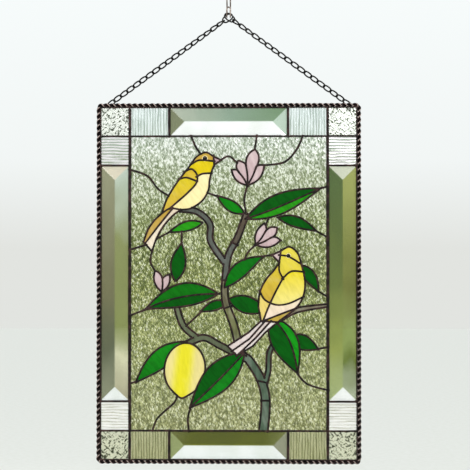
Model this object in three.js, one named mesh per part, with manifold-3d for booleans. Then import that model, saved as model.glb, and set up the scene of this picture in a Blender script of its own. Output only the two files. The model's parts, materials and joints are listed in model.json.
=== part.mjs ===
// A leaded window hanging: coloured and clear panes held in dark came, with a twisted wire round
// the edge, a curb chain from corner to corner and the wire hook that it hangs from.
// Millimetres, +X to the right, +Z up, the front facing -Y. The origin is the centre of the hook's ring.
import * as THREE from "three";
import { mergeVertices } from "three/addons/utils/BufferGeometryUtils.js";
import Module from "manifold-3d";

const wasm = await Module();
wasm.setup();
const { Manifold, Mesh: SolidMesh } = wasm;

// Panel
const PANEL_WIDTH = 254;
const PANEL_HEIGHT = 346;
const PANEL_DROP = 280; // from the ring's centre down to the panel's centre
const PANE_THICKNESS = 3;
const SMALLEST_PANE = 30; // cubic millimetres
const CAME_DEPTH = 4.6;
const FIT_GAP = 0.3; // between pieces that meet
const TIDY = 0.05; // how far a face may move when needless corners are taken out
const PICTURE_HALF_WIDTH = 95;
const PICTURE_HALF_HEIGHT = 141;
const BEVEL_HALF_WIDTH = 57; // half the length of the top and bottom bevels' bay
const BEVEL_HALF_HEIGHT = 113;

// Came widths as seen from the front
const EDGE_CAME = 1.6;
const UPRIGHT_CAME = 2.8;
const LEVEL_CAME = 2.1;
const PICTURE_CAME = 1.9;
const BLUNTEST = 0.4; // least share that a pointed corner of came keeps of its true reach

const PETAL_SPREAD = 22; // degrees that an outer petal swells beyond its tip

// Bevelled strips: thin edges, and a ridge along the middle
const BEVEL_EDGE = 2;
const BEVEL_RIDGE = 5;

// Twisted edge wire
const ROPE_DIAMETER = 4.2;
const ROPE_CORNER = 3;
const ROPE_TURNS = 72; // of its three-sided section, round the whole edge
const ROPE_STEPS_PER_TURN = 4;

// Chain
const LINKS_PER_STRAND = 18;
const LINK_LENGTH = 10.2;
const LINK_WIDTH = 4.9;
const LINK_WIRE = 1.2;
const END_LINK_LENGTH = 12;
const END_LINK_WIDTH = 7.4;
const LINK_ROLL = 0.6; // radians, to either side by turns
const CHAIN_TWIST = 0.55;

// Hook, bent from one wire
const HOOK_WIRE = 1.4;
const HOOK_RING_RADIUS = 5.7;
const HOOK_LEG = 1.65; // each leg's distance from the middle
const HOOK_BEND = 4;
const HOOK_LOW = -24.5;
const HOOK_TIP = -15.4;

// Loops soldered to the back of the top corners
const LOOP_WIRE = 1.4;
const LOOP_REACH = 115.5; // from the middle of the panel
const LOOP_HALF_WIDTH = 1.8;
const LOOP_TOP = 172; // above the panel's centre
const LOOP_BOTTOM = 165.4;
const SOLDERED = 0.3; // how deep a loop is sunk in the came

const COLOURS = {
  ground: [0xd9dfd0, 0.12],
  ribbed: [0xe6ebe8, 0.12],
  granite: [0xe2e8dc, 0.18],
  bevel: [0xe8efe9, 0.03],
  bird: [0xf2cf12, 0.25],
  lemon: [0xf6e21a, 0.25],
  leaf_dark: [0x0a6b1c, 0.25],
  leaf_bright: [0x2f9a22, 0.25],
  petal: [0xe0c4c6, 0.3],
  branch: [0x7d8878, 0.3],
  came: [0x2a1c1b, 0.45],
  chain: [0x16181a, 0.4],
  hook: [0x857468, 0.35],
};
const METALS = ["came", "chain", "hook"];

const vec = (x, z) => new THREE.Vector2(x, z);
const points = (list) => list.map(([x, z]) => vec(x, z));
const rectangle = (left, right, low, high) =>
  points([[left, low], [right, low], [right, high], [left, high]]);

// A smooth line through a few points, in a number of straight steps.
const curve = (list, steps) => new THREE.SplineCurve(points(list)).getPoints(steps);

// A closed geometry as a solid.
function solid(geometry) {
  const bare = geometry.clone();
  bare.deleteAttribute("normal");
  bare.deleteAttribute("uv");
  const merged = mergeVertices(bare, 1e-4);
  const vertProperties = new Float32Array(merged.attributes.position.array);
  const triVerts = new Uint32Array(merged.index.array);
  return new Manifold(new SolidMesh({ numProp: 3, vertProperties, triVerts }));
}

// A solid as a geometry.
function geometryOf(body) {
  const mesh = body.asOriginal().simplify(TIDY).getMesh();
  const geometry = new THREE.BufferGeometry();
  geometry.setAttribute("position", new THREE.BufferAttribute(mesh.vertProperties, 3));
  geometry.setIndex(new THREE.BufferAttribute(mesh.triVerts, 1));
  return geometry.toNonIndexed();
}

// An upright plate: an outline in the panel's plane, as thick as the stretch from near to far.
function plate(outline, near, far) {
  const shape = new THREE.Shape(outline);
  const geometry = new THREE.ExtrudeGeometry(shape, { depth: far - near, bevelEnabled: false });
  return solid(geometry.rotateX(Math.PI / 2).translate(0, far, 0));
}

const pane = (outline) => plate(outline, -PANE_THICKNESS / 2, PANE_THICKNESS / 2);

// The outline of a strip of even width along a line, square at both ends.
function strip(line, width) {
  const sides = [[], []];
  line.forEach((point, i) => {
    const before = i > 0 ? point.clone().sub(line[i - 1]).normalize() : null;
    const after = i < line.length - 1 ? line[i + 1].clone().sub(point).normalize() : before;
    const along = (before ?? after).clone().add(after).normalize();
    const spread = width / 2 / along.dot(after);
    sides[0].push(vec(point.x - along.y * spread, point.y + along.x * spread));
    sides[1].push(vec(point.x + along.y * spread, point.y - along.x * spread));
  });
  return [...sides[0], ...sides[1].reverse()];
}

// Came along a line, as deep as the stretch from near to far.
function cameAlong(line, width, near, far) {
  return plate(strip(line, width), near, far);
}

// An outline moved outward by a distance, or inward where that is negative, with pointed corners.
function offset(outline, distance) {
  const turn = Math.sign(THREE.ShapeUtils.area(outline));
  const count = outline.length;
  return outline.map((point, i) => {
    const before = point.clone().sub(outline[(i + count - 1) % count]).normalize();
    const after = outline[(i + 1) % count].clone().sub(point).normalize();
    const along = before.clone().add(after).normalize();
    const pointed = Math.max(along.dot(after), distance > 0 ? BLUNTEST : 0.1);
    const reach = (turn * distance) / pointed;
    return vec(point.x + along.y * reach, point.y - along.x * reach);
  });
}

// A closed band of came along an outline.
function band(outline, width, near, far) {
  const inner = plate(offset(outline, -width / 2), near - 1, far + 1);
  return plate(offset(outline, width / 2), near, far).subtract(inner);
}

// A pointed blade from base to tip. Its middle bows to the left of that line by bend.
function blade(base, tip, width, bend, steps) {
  const start = vec(...base);
  const end = vec(...tip);
  const side = vec(start.y - end.y, end.x - start.x).normalize();
  const edge = (share) =>
    Array.from({ length: steps + 1 }, (_, i) => {
      const t = i / steps;
      const swell = (share * width * Math.sin(Math.PI * t ** 0.85)) / 2;
      return start.clone().lerp(end, t).addScaledVector(side, bend * 4 * t * (1 - t) + swell);
    });
  return { outline: [...edge(1), ...edge(-1).reverse().slice(1, -1)], edge };
}

// A leaf, whose rib, where it has one, splits its width at that share of the half width.
function leaf(name, base, tip, width, bend, rib = null, colour = "leaf_dark") {
  const { outline, edge } = blade(base, tip, width, bend, 4);
  return { name, colour, outlines: [outline], inner: rib === null ? [] : [edge(rib)] };
}

// A fan of petals in one piece, each given as its angle clockwise from upright and its length. The
// outline dips between two petals, and a line runs from the base up to each dip.
function blossom(name, base, petals) {
  const at = (degrees, distance) => {
    const turn = THREE.MathUtils.degToRad(degrees);
    return vec(base[0] + distance * Math.sin(turn), base[1] + distance * Math.cos(turn));
  };
  const belly = ([degrees, length], side) => at(degrees + side * PETAL_SPREAD, length * 0.55);
  const dips = petals.slice(1).map(([degrees, length], i) => {
    const [lastDegrees, lastLength] = petals[i];
    return at((degrees + lastDegrees) / 2, 0.31 * (length + lastLength));
  });
  const tips = petals.flatMap(([degrees, length], i) => [at(degrees, length), ...dips.slice(i, i + 1)]);
  const outline = [at(0, 0), belly(petals[0], -1), ...tips, belly(petals.at(-1), 1)];
  return { name, colour: "petal", outlines: [outline], inner: dips.map((dip) => [at(0, 0), dip]) };
}

// A ribbon along a smooth line, from one width to another.
function ribbon(list, startWidth, endWidth, steps) {
  const line = curve(list, steps);
  const edge = (side) =>
    line.map((point, i) => {
      const before = line[Math.max(i - 1, 0)];
      const along = line[Math.min(i + 1, steps)].clone().sub(before).normalize();
      const half = (side * (startWidth + ((endWidth - startWidth) * i) / steps)) / 2;
      return vec(point.x - along.y * half, point.y + along.x * half);
    });
  return [...edge(1), ...edge(-1).reverse()];
}

// A lemon: an oval that draws out to a nub at its lower end.
function lemon(name, x, z, halfWidth, halfHeight, tilt, nub) {
  const steps = 14;
  const outline = Array.from({ length: steps }, (_, i) => {
    const t = (i / steps) * 2 * Math.PI;
    const low = Math.max(-Math.sin(t), 0) ** 12;
    const at = vec(halfWidth * Math.cos(t) * (1 - 0.3 * low), halfHeight * Math.sin(t) - nub * low);
    return at.rotateAround(vec(0, 0), tilt).add(vec(x, z));
  });
  return { name, colour: "lemon", outlines: [outline], inner: [] };
}

// A small bird that faces right, with its wing folded and its tail down.
function upperBird() {
  const back = curve(
    [[-60, 71], [-56, 86], [-47, 100], [-38, 111], [-31, 121], [-22, 126], [-14.5, 121]],
    7,
  );
  const beak = [vec(-6.5, 116.5)];
  const breast = curve([[-14, 111.5], [-15, 102], [-19, 90], [-26, 79], [-37, 71.5], [-49, 68.5]], 5);
  const tail = points([[-58, 57], [-71, 31], [-80, 36], [-69, 55]]);
  return {
    name: "bird_upper",
    colour: "bird",
    outlines: [[...back, ...beak, ...breast, ...tail]],
    inner: [
      points([[-14.5, 121], [-14, 111.5]]),
      curve([[-37, 112], [-27, 117], [-14.3, 116.5]], 2),
      points([[-29, 105], [-22, 103.5], [-15, 105]]),
      curve([[-41, 107], [-32, 109], [-28.5, 102], [-31, 91], [-43, 79], [-60, 71]], 5),
      points([[-47, 99], [-38, 100], [-28.7, 97]]),
      points([[-60, 71], [-49, 68.5]]),
      points([[-54, 69.5], [-64, 54], [-75.5, 33.5]]),
    ],
  };
}

// A small bird seen from behind that looks to the left, with its tail across the trunk.
function lowerBird() {
  const back = curve([[50, 31], [58, 35], [66, 29], [70, 17], [73, 3], [72, -10], [65, -23], [47, -37]], 8);
  const tail = points([[35, -47], [23, -60], [8, -69], [-1, -60], [19, -47], [31, -36]]);
  const flank = curve([[28.5, -22], [30, -8], [36, 4], [43, 12], [48.5, 20]], 4);
  return {
    name: "bird_lower",
    colour: "bird",
    outlines: [[...back, ...tail, ...flank, vec(43, 25)]],
    inner: [
      points([[50, 31], [48.5, 20]]),
      curve([[49, 26], [59, 25], [68.5, 20]], 2),
      curve([[48.5, 20], [48.5, 12], [52, 5]], 2),
      curve([[52, 5], [60, 11.5], [71.5, 11]], 2),
      curve([[52, 5], [45, -8], [38, -23], [33, -36]], 3),
      curve([[30, -8], [35, -16], [46, -20.5], [58, -19], [71, -13]], 3),
      points([[33, -36], [48, -30], [64, -24]]),
      points([[31, -36], [47, -37]]),
      points([[35, -36], [20, -53], [3.5, -64.5]]),
      points([[40, -36.5], [26, -52], [8, -69]]),
    ],
  };
}

// The branches in one piece: the trunk, and what grows from it.
function branches() {
  const trunk = [
    [17, 67], [9, 45], [0, 27], [-3, 6], [-3, -17], [5, -40],
    [12, -66], [20, -74], [30, -90], [35, -107], [35, -124], [33, -142],
  ];
  return {
    name: "branch",
    colour: "branch",
    outlines: [
      ribbon(trunk, 5, 8.5, 10),
      ribbon([[-46, 71], [-30, 68.5], [-18, 57], [-17, 40], [-3, 19]], 5, 5.5, 4),
      ribbon([[-40, -58], [-24, -52], [-9, -59], [14, -71]], 5.5, 6, 3),
      ribbon([[-50, -22], [-43, -41], [-29, -53]], 5, 5.5, 2),
      ribbon([[44, -37], [64, -26], [95, -21]], 6, 2.6, 2),
      ribbon([[35, -95], [38, -83], [37, -64]], 4.5, 4.5, 2),
    ],
    inner: [],
  };
}

// The picture's figures, those that lie on top first.
const FIGURES = [
  upperBird(),
  lowerBird(),
  leaf("leaf_low_centre", [15, -66], [-37, -119], 23, 0, 0.2),
  lemon("lemon", -42, -82, 19.5, 25, -0.12, 3),
  leaf("leaf_broad_left", [-10, -10], [-80, -25], 22, -6, 0.15),
  leaf("leaf_broad_right", [17, 62], [88, 91], 19, 1, -0.25),
  leaf("leaf_middle", [-4, -4], [34, 26], 14, 4),
  leaf("leaf_low_right", [40, -32], [66, -86], 25, 2, 0.35),
  leaf("leaf_by_lemon", [-40, -56], [-89, -95], 18, -3),
  branches(),
  leaf("leaf_upper_middle", [15, 67], [-11, 84], 10, 1),
  leaf("leaf_under_bird", [-25, 58], [-57, 49], 9, -1, null, "leaf_bright"),
  leaf("leaf_upright", [-51, 2], [-45, 39], 14, 0),
  leaf("leaf_right", [47, 63], [84, 50], 10, 2),
  leaf("leaf_behind_bird", [67, 18], [86, -8], 11, 2),
  leaf("leaf_centre_left", [-1, -18], [-27, -27], 9, -1),
  leaf("leaf_centre_right", [0, -15], [38, -27], 16, 0),
  leaf("leaf_low_small", [56, -52], [86, -63], 14, 1),
  blossom("blossom_top", [18, 94], [[-46, 21], [-20, 25], [12, 35], [40, 25]]),
  blossom("blossom_middle", [26, 37], [[22, 22], [51, 26], [80, 24]]),
  blossom("blossom_left", [-64, -8], [[-18, 21], [24, 18]]),
];

// Lines of came between the panes of the ground.
const GROUND_LINES = [
  [[-25, 122], [-31, 130], [-36, 141]],
  [[-95, 109], [-78, 103], [-67, 90], [-50, 80]],
  [[-7, 116.5], [2, 121], [12, 111]],
  [[33, 113], [53, 116], [65, 128], [71, 141]],
  [[82, 51], [95, 44]],
  [[-79, -25], [-95, -31]],
  [[-49, -107], [-61, -124], [-72, -141]],
  [[-36, -118], [-39, -129], [-38, -141]],
  [[85, -7], [95, -13]],
  [[65, -85], [75, -96], [95, -102]],
  [[18, 94], [15, 80], [17, 66]],
];

// Short lines that lie on the two faces of the ground, whose panes are fused there.
const SURFACE_LINES = [
  [[25, 128], [27, 141]],
  [[86, 90], [95, 93]],
  [[-21, 87], [-10, 83]],
  [[-79, 37], [-95, 32]],
  [[-73, 32], [-75, 21], [-70, 11]],
  [[-45, 53], [-45, 38]],
  [[-56, 49.5], [-70, 42]],
  [[-88, -94], [-95, -96]],
  [[85, -62.5], [95, -61]],
  [[26, 37], [18, 29], [14, 19]],
  [[33, 25.5], [44, 25]],
  [[36, 57], [41, 68]],
  [[-26, -27], [-41, -41]],
];

// The straight came of the border: round the panel's edge, round the picture, and between the bays.
function borderLines() {
  const x = PANEL_WIDTH / 2 - ROPE_DIAMETER - FIT_GAP - EDGE_CAME / 2;
  const z = PANEL_HEIGHT / 2 - ROPE_DIAMETER - FIT_GAP - EDGE_CAME / 2;
  const line = (from, to, width) => ({ line: points([from, to]), width });
  const lines = [
    line([-x, z], [x, z], EDGE_CAME),
    line([-x, -z], [x, -z], EDGE_CAME),
    line([-x, -z], [-x, z], EDGE_CAME),
    line([x, -z], [x, z], EDGE_CAME),
  ];
  for (const side of [-1, 1]) {
    const upright = side * PICTURE_HALF_WIDTH;
    const level = side * PICTURE_HALF_HEIGHT;
    lines.push(line([upright, -z], [upright, z], UPRIGHT_CAME));
    lines.push(line([-x, level], [x, level], LEVEL_CAME));
    for (const end of [-1, 1]) {
      const bay = end * BEVEL_HALF_WIDTH;
      const bayLevel = end * BEVEL_HALF_HEIGHT;
      lines.push(line([bay, level], [bay, side * z], UPRIGHT_CAME));
      lines.push(line([upright, bayLevel], [side * x, bayLevel], LEVEL_CAME));
    }
  }
  return { lines, x, z };
}

// A bevelled strip between two corners: flat behind, with a ridge along the middle of its front
// that runs down to both ends at 45 degrees.
function bevelStrip(left, right, low, high) {
  const back = PANE_THICKNESS / 2;
  const edge = back - BEVEL_EDGE;
  const inset = Math.min(right - left, high - low) / 2;
  const corners = [[left, low], [right, low], [right, high], [left, high]];
  const lying = right - left > high - low;
  const ridgeStart = [left + inset, low + inset];
  const ridgeEnd = lying ? [right - inset, low + inset] : [left + inset, high - inset];
  const at = (y) => ([x, z]) => [x, y, z];
  const ridge = [ridgeStart, ridgeEnd].map(at(back - BEVEL_RIDGE));
  const vertices = [...corners.map(at(back)), ...corners.map(at(edge)), ...ridge];
  const faces = [0, 2, 1, 0, 3, 2];
  for (let i = 0; i < 4; i += 1) {
    const next = (i + 1) % 4;
    faces.push(i, next, 4 + next, i, 4 + next, 4 + i);
  }
  if (lying) faces.push(4, 5, 9, 4, 9, 8, 5, 6, 9, 6, 7, 8, 6, 8, 9, 7, 4, 8);
  else faces.push(4, 5, 8, 5, 6, 9, 5, 9, 8, 6, 7, 9, 7, 4, 8, 7, 8, 9);
  const geometry = new THREE.BufferGeometry();
  geometry.setAttribute("position", new THREE.Float32BufferAttribute(vertices.flat(), 3));
  geometry.setIndex(faces);
  return solid(geometry);
}

// The sixteen panes of the border, by name.
function borderPanes({ x, z }) {
  const outerX = x - EDGE_CAME / 2 - FIT_GAP;
  const outerZ = z - EDGE_CAME / 2 - FIT_GAP;
  const innerX = PICTURE_HALF_WIDTH + UPRIGHT_CAME / 2 + FIT_GAP;
  const innerZ = PICTURE_HALF_HEIGHT + LEVEL_CAME / 2 + FIT_GAP;
  const bay = (place, width) => [place - width / 2 - FIT_GAP, place + width / 2 + FIT_GAP];
  const [bayLow, bayHigh] = bay(BEVEL_HALF_WIDTH, UPRIGHT_CAME);
  const [levelLow, levelHigh] = bay(BEVEL_HALF_HEIGHT, LEVEL_CAME);
  const pictureX = PICTURE_HALF_WIDTH - UPRIGHT_CAME / 2 - FIT_GAP;
  const pictureZ = PICTURE_HALF_HEIGHT - LEVEL_CAME / 2 - FIT_GAP;
  const panes = [];
  const add = (name, colour, make, left, right, low, high) =>
    panes.push({ name, colour, body: make(left, right, low, high) });
  const flat = (left, right, low, high) => pane(rectangle(left, right, low, high));
  for (const [level, up] of [["top", 1], ["bottom", -1]]) {
    const [low, high] = up > 0 ? [innerZ, outerZ] : [-outerZ, -innerZ];
    const [sideLow, sideHigh] = up > 0 ? [levelHigh, pictureZ] : [-pictureZ, -levelHigh];
    for (const [hand, over] of [["left", -1], ["right", 1]]) {
      const [outerLeft, outerRight] = over > 0 ? [innerX, outerX] : [-outerX, -innerX];
      const [ribbedLeft, ribbedRight] = over > 0 ? [bayHigh, pictureX] : [-pictureX, -bayHigh];
      add(`corner_pane_${level}_${hand}`, "granite", flat, outerLeft, outerRight, low, high);
      add(`ribbed_pane_${level}_${hand}`, "ribbed", flat, ribbedLeft, ribbedRight, low, high);
      add(`ribbed_side_pane_${level}_${hand}`, "ribbed", flat, outerLeft, outerRight, sideLow, sideHigh);
    }
    add(`bevel_${level}`, "bevel", bevelStrip, -bayLow, bayLow, low, high);
  }
  add("bevel_left", "bevel", bevelStrip, -outerX, -innerX, -levelLow, levelLow);
  add("bevel_right", "bevel", bevelStrip, innerX, outerX, -levelLow, levelLow);
  return panes;
}

// The picture's panes, and its came. Where lines cross a fused piece they lie on its two faces.
function picture() {
  const surfaces = [
    [-CAME_DEPTH / 2, -PANE_THICKNESS / 2 - FIT_GAP],
    [PANE_THICKNESS / 2 + FIT_GAP, CAME_DEPTH / 2],
  ];
  const deep = (outline) => plate(outline, -CAME_DEPTH, CAME_DEPTH);
  const clear = (body, above) => (above ? body.subtract(above) : body);
  const gapped = PICTURE_CAME + 2 * FIT_GAP;
  const half = CAME_DEPTH / 2;
  const came = [];
  const areas = [];
  let cuts = [];
  let above = null;
  for (const { name, colour, outlines, inner } of FIGURES) {
    const solids = outlines.map(deep);
    const under = above;
    outlines.forEach((outline, i) => {
      const others = solids.filter((_, j) => j !== i);
      const rest = others.length > 0 ? Manifold.union(others) : null;
      came.push(clear(clear(band(outline, PICTURE_CAME, -half, half), above), rest));
      cuts.push(clear(clear(band(outline, gapped, -half, half), above), rest));
      above = above ? above.add(solids[i]) : solids[i];
    });
    for (const line of inner) {
      const onSurfaces = surfaces.map(([near, far]) => cameAlong(line, PICTURE_CAME, near, far));
      came.push(...onSurfaces.map((body) => clear(body, under)));
    }
    areas.push({ name, colour, body: clear(Manifold.union(outlines.map(pane)), under) });
  }
  const figureCut = Manifold.union(cuts);
  for (const list of GROUND_LINES) {
    const line = curve(list, 3);
    came.push(cameAlong(line, PICTURE_CAME, -half, half).subtract(above));
    cuts.push(cameAlong(line, gapped, -half, half));
  }
  for (const list of SURFACE_LINES) {
    const line = curve(list, list.length - 1);
    came.push(...surfaces.map(([near, far]) => cameAlong(line, PICTURE_CAME, near, far).subtract(above)));
  }
  const x = PICTURE_HALF_WIDTH - UPRIGHT_CAME / 2 - FIT_GAP;
  const z = PICTURE_HALF_HEIGHT - LEVEL_CAME / 2 - FIT_GAP;
  const field = pane(rectangle(-x, x, -z, z));
  const groundCut = Manifold.union(cuts);
  const whole = areas.map((area) => ({ ...area, body: area.body.intersect(field).subtract(figureCut) }));
  whole.push({ name: "ground", colour: "ground", body: field.subtract(above).subtract(groundCut) });
  const panes = whole.flatMap(({ name, colour, body }) =>
    body
      .decompose()
      .filter((piece) => piece.volume() > SMALLEST_PANE)
      .map((piece) => ({ name, colour, body: piece })),
  );
  const wide = PICTURE_HALF_WIDTH;
  const high = PICTURE_HALF_HEIGHT;
  const opening = deep(rectangle(-wide, wide, -high, high));
  return { came: Manifold.union(came).intersect(opening), panes };
}

// A round or few-sided bar along a closed path, its section turned by a number of whole turns.
function barAlong(path, radius, sides, turns = 0) {
  const count = path.length;
  const next = (i) => (i + 1) % count;
  const steps = path.map((point, i) => path[next(i)].clone().sub(point).normalize());
  const before = (i) => steps[(i + count - 1) % count];
  const tangents = steps.map((step, i) => step.clone().add(before(i)).normalize());
  const start = new THREE.Vector3(0.31, 0.87, 0.38).cross(tangents[0]).normalize();
  const normals = [start];
  const carry = (normal, from, to) =>
    normal.clone().applyQuaternion(new THREE.Quaternion().setFromUnitVectors(from, to));
  for (let i = 1; i <= count; i += 1) {
    normals.push(carry(normals[i - 1], tangents[i - 1], tangents[i % count]));
  }
  const side = tangents[0].clone().cross(start);
  const slip = Math.atan2(normals[count].dot(side), normals[count].dot(start));
  const vertices = [];
  const faces = [];
  for (let i = 0; i < count; i += 1) {
    const across = tangents[i].clone().cross(normals[i]);
    const bend = steps[i].clone().sub(before(i));
    const mitre = 1 / tangents[i].dot(steps[i]) - 1;
    if (bend.lengthSq() > 1e-9) bend.normalize();
    for (let j = 0; j < sides; j += 1) {
      const angle = (j / sides) * 2 * Math.PI + ((turns * 2 * Math.PI - slip) * i) / count;
      const spoke = normals[i].clone().multiplyScalar(Math.cos(angle));
      spoke.addScaledVector(across, Math.sin(angle));
      spoke.addScaledVector(bend, spoke.dot(bend) * mitre).multiplyScalar(radius).add(path[i]);
      vertices.push(spoke.x, spoke.y, spoke.z);
      const a = i * sides + j;
      const b = i * sides + ((j + 1) % sides);
      const c = next(i) * sides + j;
      const d = next(i) * sides + ((j + 1) % sides);
      faces.push(a, b, c, b, d, c);
    }
  }
  const geometry = new THREE.BufferGeometry();
  geometry.setAttribute("position", new THREE.Float32BufferAttribute(vertices, 3));
  geometry.setIndex(faces);
  return solid(geometry);
}

// The twisted wire that runs round the panel's edge.
function edgeRope() {
  const x = (PANEL_WIDTH - ROPE_DIAMETER) / 2;
  const z = (PANEL_HEIGHT - ROPE_DIAMETER) / 2;
  const path = new THREE.Path();
  path.moveTo(x, 0);
  path.absarc(x - ROPE_CORNER, z - ROPE_CORNER, ROPE_CORNER, 0, Math.PI / 2);
  path.absarc(-x + ROPE_CORNER, z - ROPE_CORNER, ROPE_CORNER, Math.PI / 2, Math.PI);
  path.absarc(-x + ROPE_CORNER, -z + ROPE_CORNER, ROPE_CORNER, Math.PI, 1.5 * Math.PI);
  path.absarc(x - ROPE_CORNER, -z + ROPE_CORNER, ROPE_CORNER, 1.5 * Math.PI, 2 * Math.PI);
  path.closePath();
  const spaced = path.getSpacedPoints(ROPE_TURNS * ROPE_STEPS_PER_TURN).slice(0, -1);
  const line = spaced.map((point) => new THREE.Vector3(point.x, 0, point.y));
  return barAlong(line, ROPE_DIAMETER / 2, 3, ROPE_TURNS);
}

// One chain link along +X in the X-Z plane, its ends drawn to a blunt point.
function link(length, width) {
  const x = (length - LINK_WIRE) / 2;
  const z = (width - LINK_WIRE) / 2;
  const shoulder = x - 0.75 * z;
  const path = [[x, 0], [shoulder, z], [-shoulder, z], [-x, 0], [-shoulder, -z], [shoulder, -z]];
  return barAlong(path.map(([a, b]) => new THREE.Vector3(a, 0, b)), LINK_WIRE / 2, 3);
}

// A strand of chain from the hook down to one corner loop, as one fused body. hand is 1 or -1.
function strand(hand) {
  const from = new THREE.Vector3(0, -1.5 * hand, HOOK_LOW);
  const to = new THREE.Vector3(hand * LOOP_REACH, loopDepth(), LOOP_TOP - PANEL_DROP);
  const run = to.clone().sub(from);
  const lengthwise = new THREE.Vector3(1, 0, 0);
  const turn = new THREE.Quaternion().setFromUnitVectors(lengthwise, run.clone().normalize());
  const bodies = [];
  const place = (body, distance, roll) => {
    const centre = from.clone().addScaledVector(run, distance / run.length());
    const rolled = turn.clone().multiply(new THREE.Quaternion().setFromAxisAngle(lengthwise, roll));
    const matrix = new THREE.Matrix4().compose(centre, rolled, new THREE.Vector3(1, 1, 1));
    bodies.push(body.transform(matrix.elements));
  };
  const wires = (LINK_WIRE + HOOK_WIRE) / 2 + FIT_GAP;
  const hookSide = HOOK_LEG + wires + 0.8;
  const first = END_LINK_LENGTH - LINK_WIRE - hookSide;
  const overlap = 0.1;
  const start = first - LINK_WIRE + overlap + (LINK_LENGTH - LINK_WIRE) / 2;
  const end = run.length() + wires - (LINK_LENGTH - LINK_WIRE) / 2;
  place(link(END_LINK_LENGTH, END_LINK_WIDTH), (END_LINK_LENGTH - LINK_WIRE) / 2 - hookSide, 0);
  for (let i = 0; i < LINKS_PER_STRAND; i += 1) {
    const t = i / (LINKS_PER_STRAND - 1);
    const roll = (i % 2 === 0 ? LINK_ROLL : -LINK_ROLL) + CHAIN_TWIST * Math.cos(2 * Math.PI * t);
    place(link(LINK_LENGTH, LINK_WIDTH), start + (end - start) * t, roll);
  }
  return Manifold.union(bodies);
}

// How far behind the panel's middle the corner loops' centres lie.
function loopDepth() {
  return CAME_DEPTH / 2 - SOLDERED + LOOP_WIRE / 2 + LOOP_HALF_WIDTH;
}

// A wire loop soldered to the back of the came at a top corner, where the chain's last link goes through.
function cornerLoop(hand) {
  const low = LOOP_BOTTOM + LOOP_HALF_WIDTH;
  const high = LOOP_TOP - LOOP_HALF_WIDTH;
  const arc = (centre, from) =>
    [0, 60, 120, 180].map((degrees) => {
      const angle = THREE.MathUtils.degToRad(from + degrees);
      const y = loopDepth() + LOOP_HALF_WIDTH * Math.cos(angle);
      return new THREE.Vector3(hand * LOOP_REACH, y, centre + LOOP_HALF_WIDTH * Math.sin(angle));
    });
  return barAlong([...arc(high, 0), ...arc(low, 180)], LOOP_WIRE / 2, 5);
}

// The hook: a ring at the top, two legs, and a bend that turns up in front to a closed tip.
function hook() {
  const path = [];
  const opening = Math.asin(HOOK_LEG / HOOK_RING_RADIUS);
  for (let i = 0; i <= 11; i += 1) {
    const angle = -Math.PI / 2 - opening - (i / 11) * (2 * Math.PI - 2 * opening);
    path.push([HOOK_RING_RADIUS * Math.cos(angle), 0, HOOK_RING_RADIUS * Math.sin(angle)]);
  }
  const leg = [[1, -9.5], [HOOK_BEND, -13], [HOOK_BEND, HOOK_LOW + HOOK_BEND]];
  for (const degrees of [45, 90, 135, 180]) {
    const angle = THREE.MathUtils.degToRad(degrees);
    leg.push([HOOK_BEND * Math.cos(angle), HOOK_LOW + HOOK_BEND - HOOK_BEND * Math.sin(angle)]);
  }
  const tip = HOOK_TIP - HOOK_LEG;
  leg.push([-HOOK_BEND, tip]);
  path.push(...leg.map(([y, z]) => [HOOK_LEG, y, z]));
  for (const degrees of [60, 120]) {
    const angle = THREE.MathUtils.degToRad(degrees);
    path.push([HOOK_LEG * Math.cos(angle), -HOOK_BEND, tip + HOOK_LEG * Math.sin(angle)]);
  }
  path.push(...leg.reverse().map(([y, z]) => [-HOOK_LEG, y, z]));
  return barAlong(path.map(([x, y, z]) => new THREE.Vector3(x, y, z)), HOOK_WIRE / 2, 5);
}

const root = new THREE.Group();

function add(name, body, colour) {
  const [color, roughness] = COLOURS[colour];
  const metalness = METALS.includes(colour) ? 0.8 : 0;
  const material = new THREE.MeshStandardMaterial({ color, roughness, metalness });
  const mesh = new THREE.Mesh(geometryOf(body), material);
  mesh.name = name;
  root.add(mesh);
}

const border = borderLines();
const { came, panes } = picture();
const lowered = (body) => body.translate(0, 0, -PANEL_DROP);
const straight = border.lines.map(({ line, width }) =>
  cameAlong(line, width, -CAME_DEPTH / 2, CAME_DEPTH / 2),
);
add("came", lowered(Manifold.union([...straight, came, cornerLoop(-1), cornerLoop(1)])), "came");
for (const { name, colour, body } of borderPanes(border)) add(name, lowered(body), colour);
const counts = new Map();
for (const { name, colour, body } of panes) {
  const number = (counts.get(name) ?? 0) + 1;
  counts.set(name, number);
  add(number > 1 || name === "ground" ? `${name}_${number}` : name, lowered(body), colour);
}
add("edge_rope", lowered(edgeRope()), "came");
add("chain_left", strand(-1), "chain");
add("chain_right", strand(1), "chain");
add("hook", hook(), "hook");

export default root;
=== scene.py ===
"""A leaded window hanging: birds, leaves, blossoms and a lemon in coloured acrylic, on a chain.

Sizes are millimetres in the panel's own plane, x to the right and z up from its centre.
make_piece() lowers them to the hanging ring and turns them to metres. The front faces -Y.
"""

from __future__ import annotations

import json
import logging
import re
from dataclasses import dataclass, field
from enum import Enum
from typing import Any, Sequence

import bpy
import numpy as np
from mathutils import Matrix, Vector
from mathutils.geometry import delaunay_2d_cdt

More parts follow.
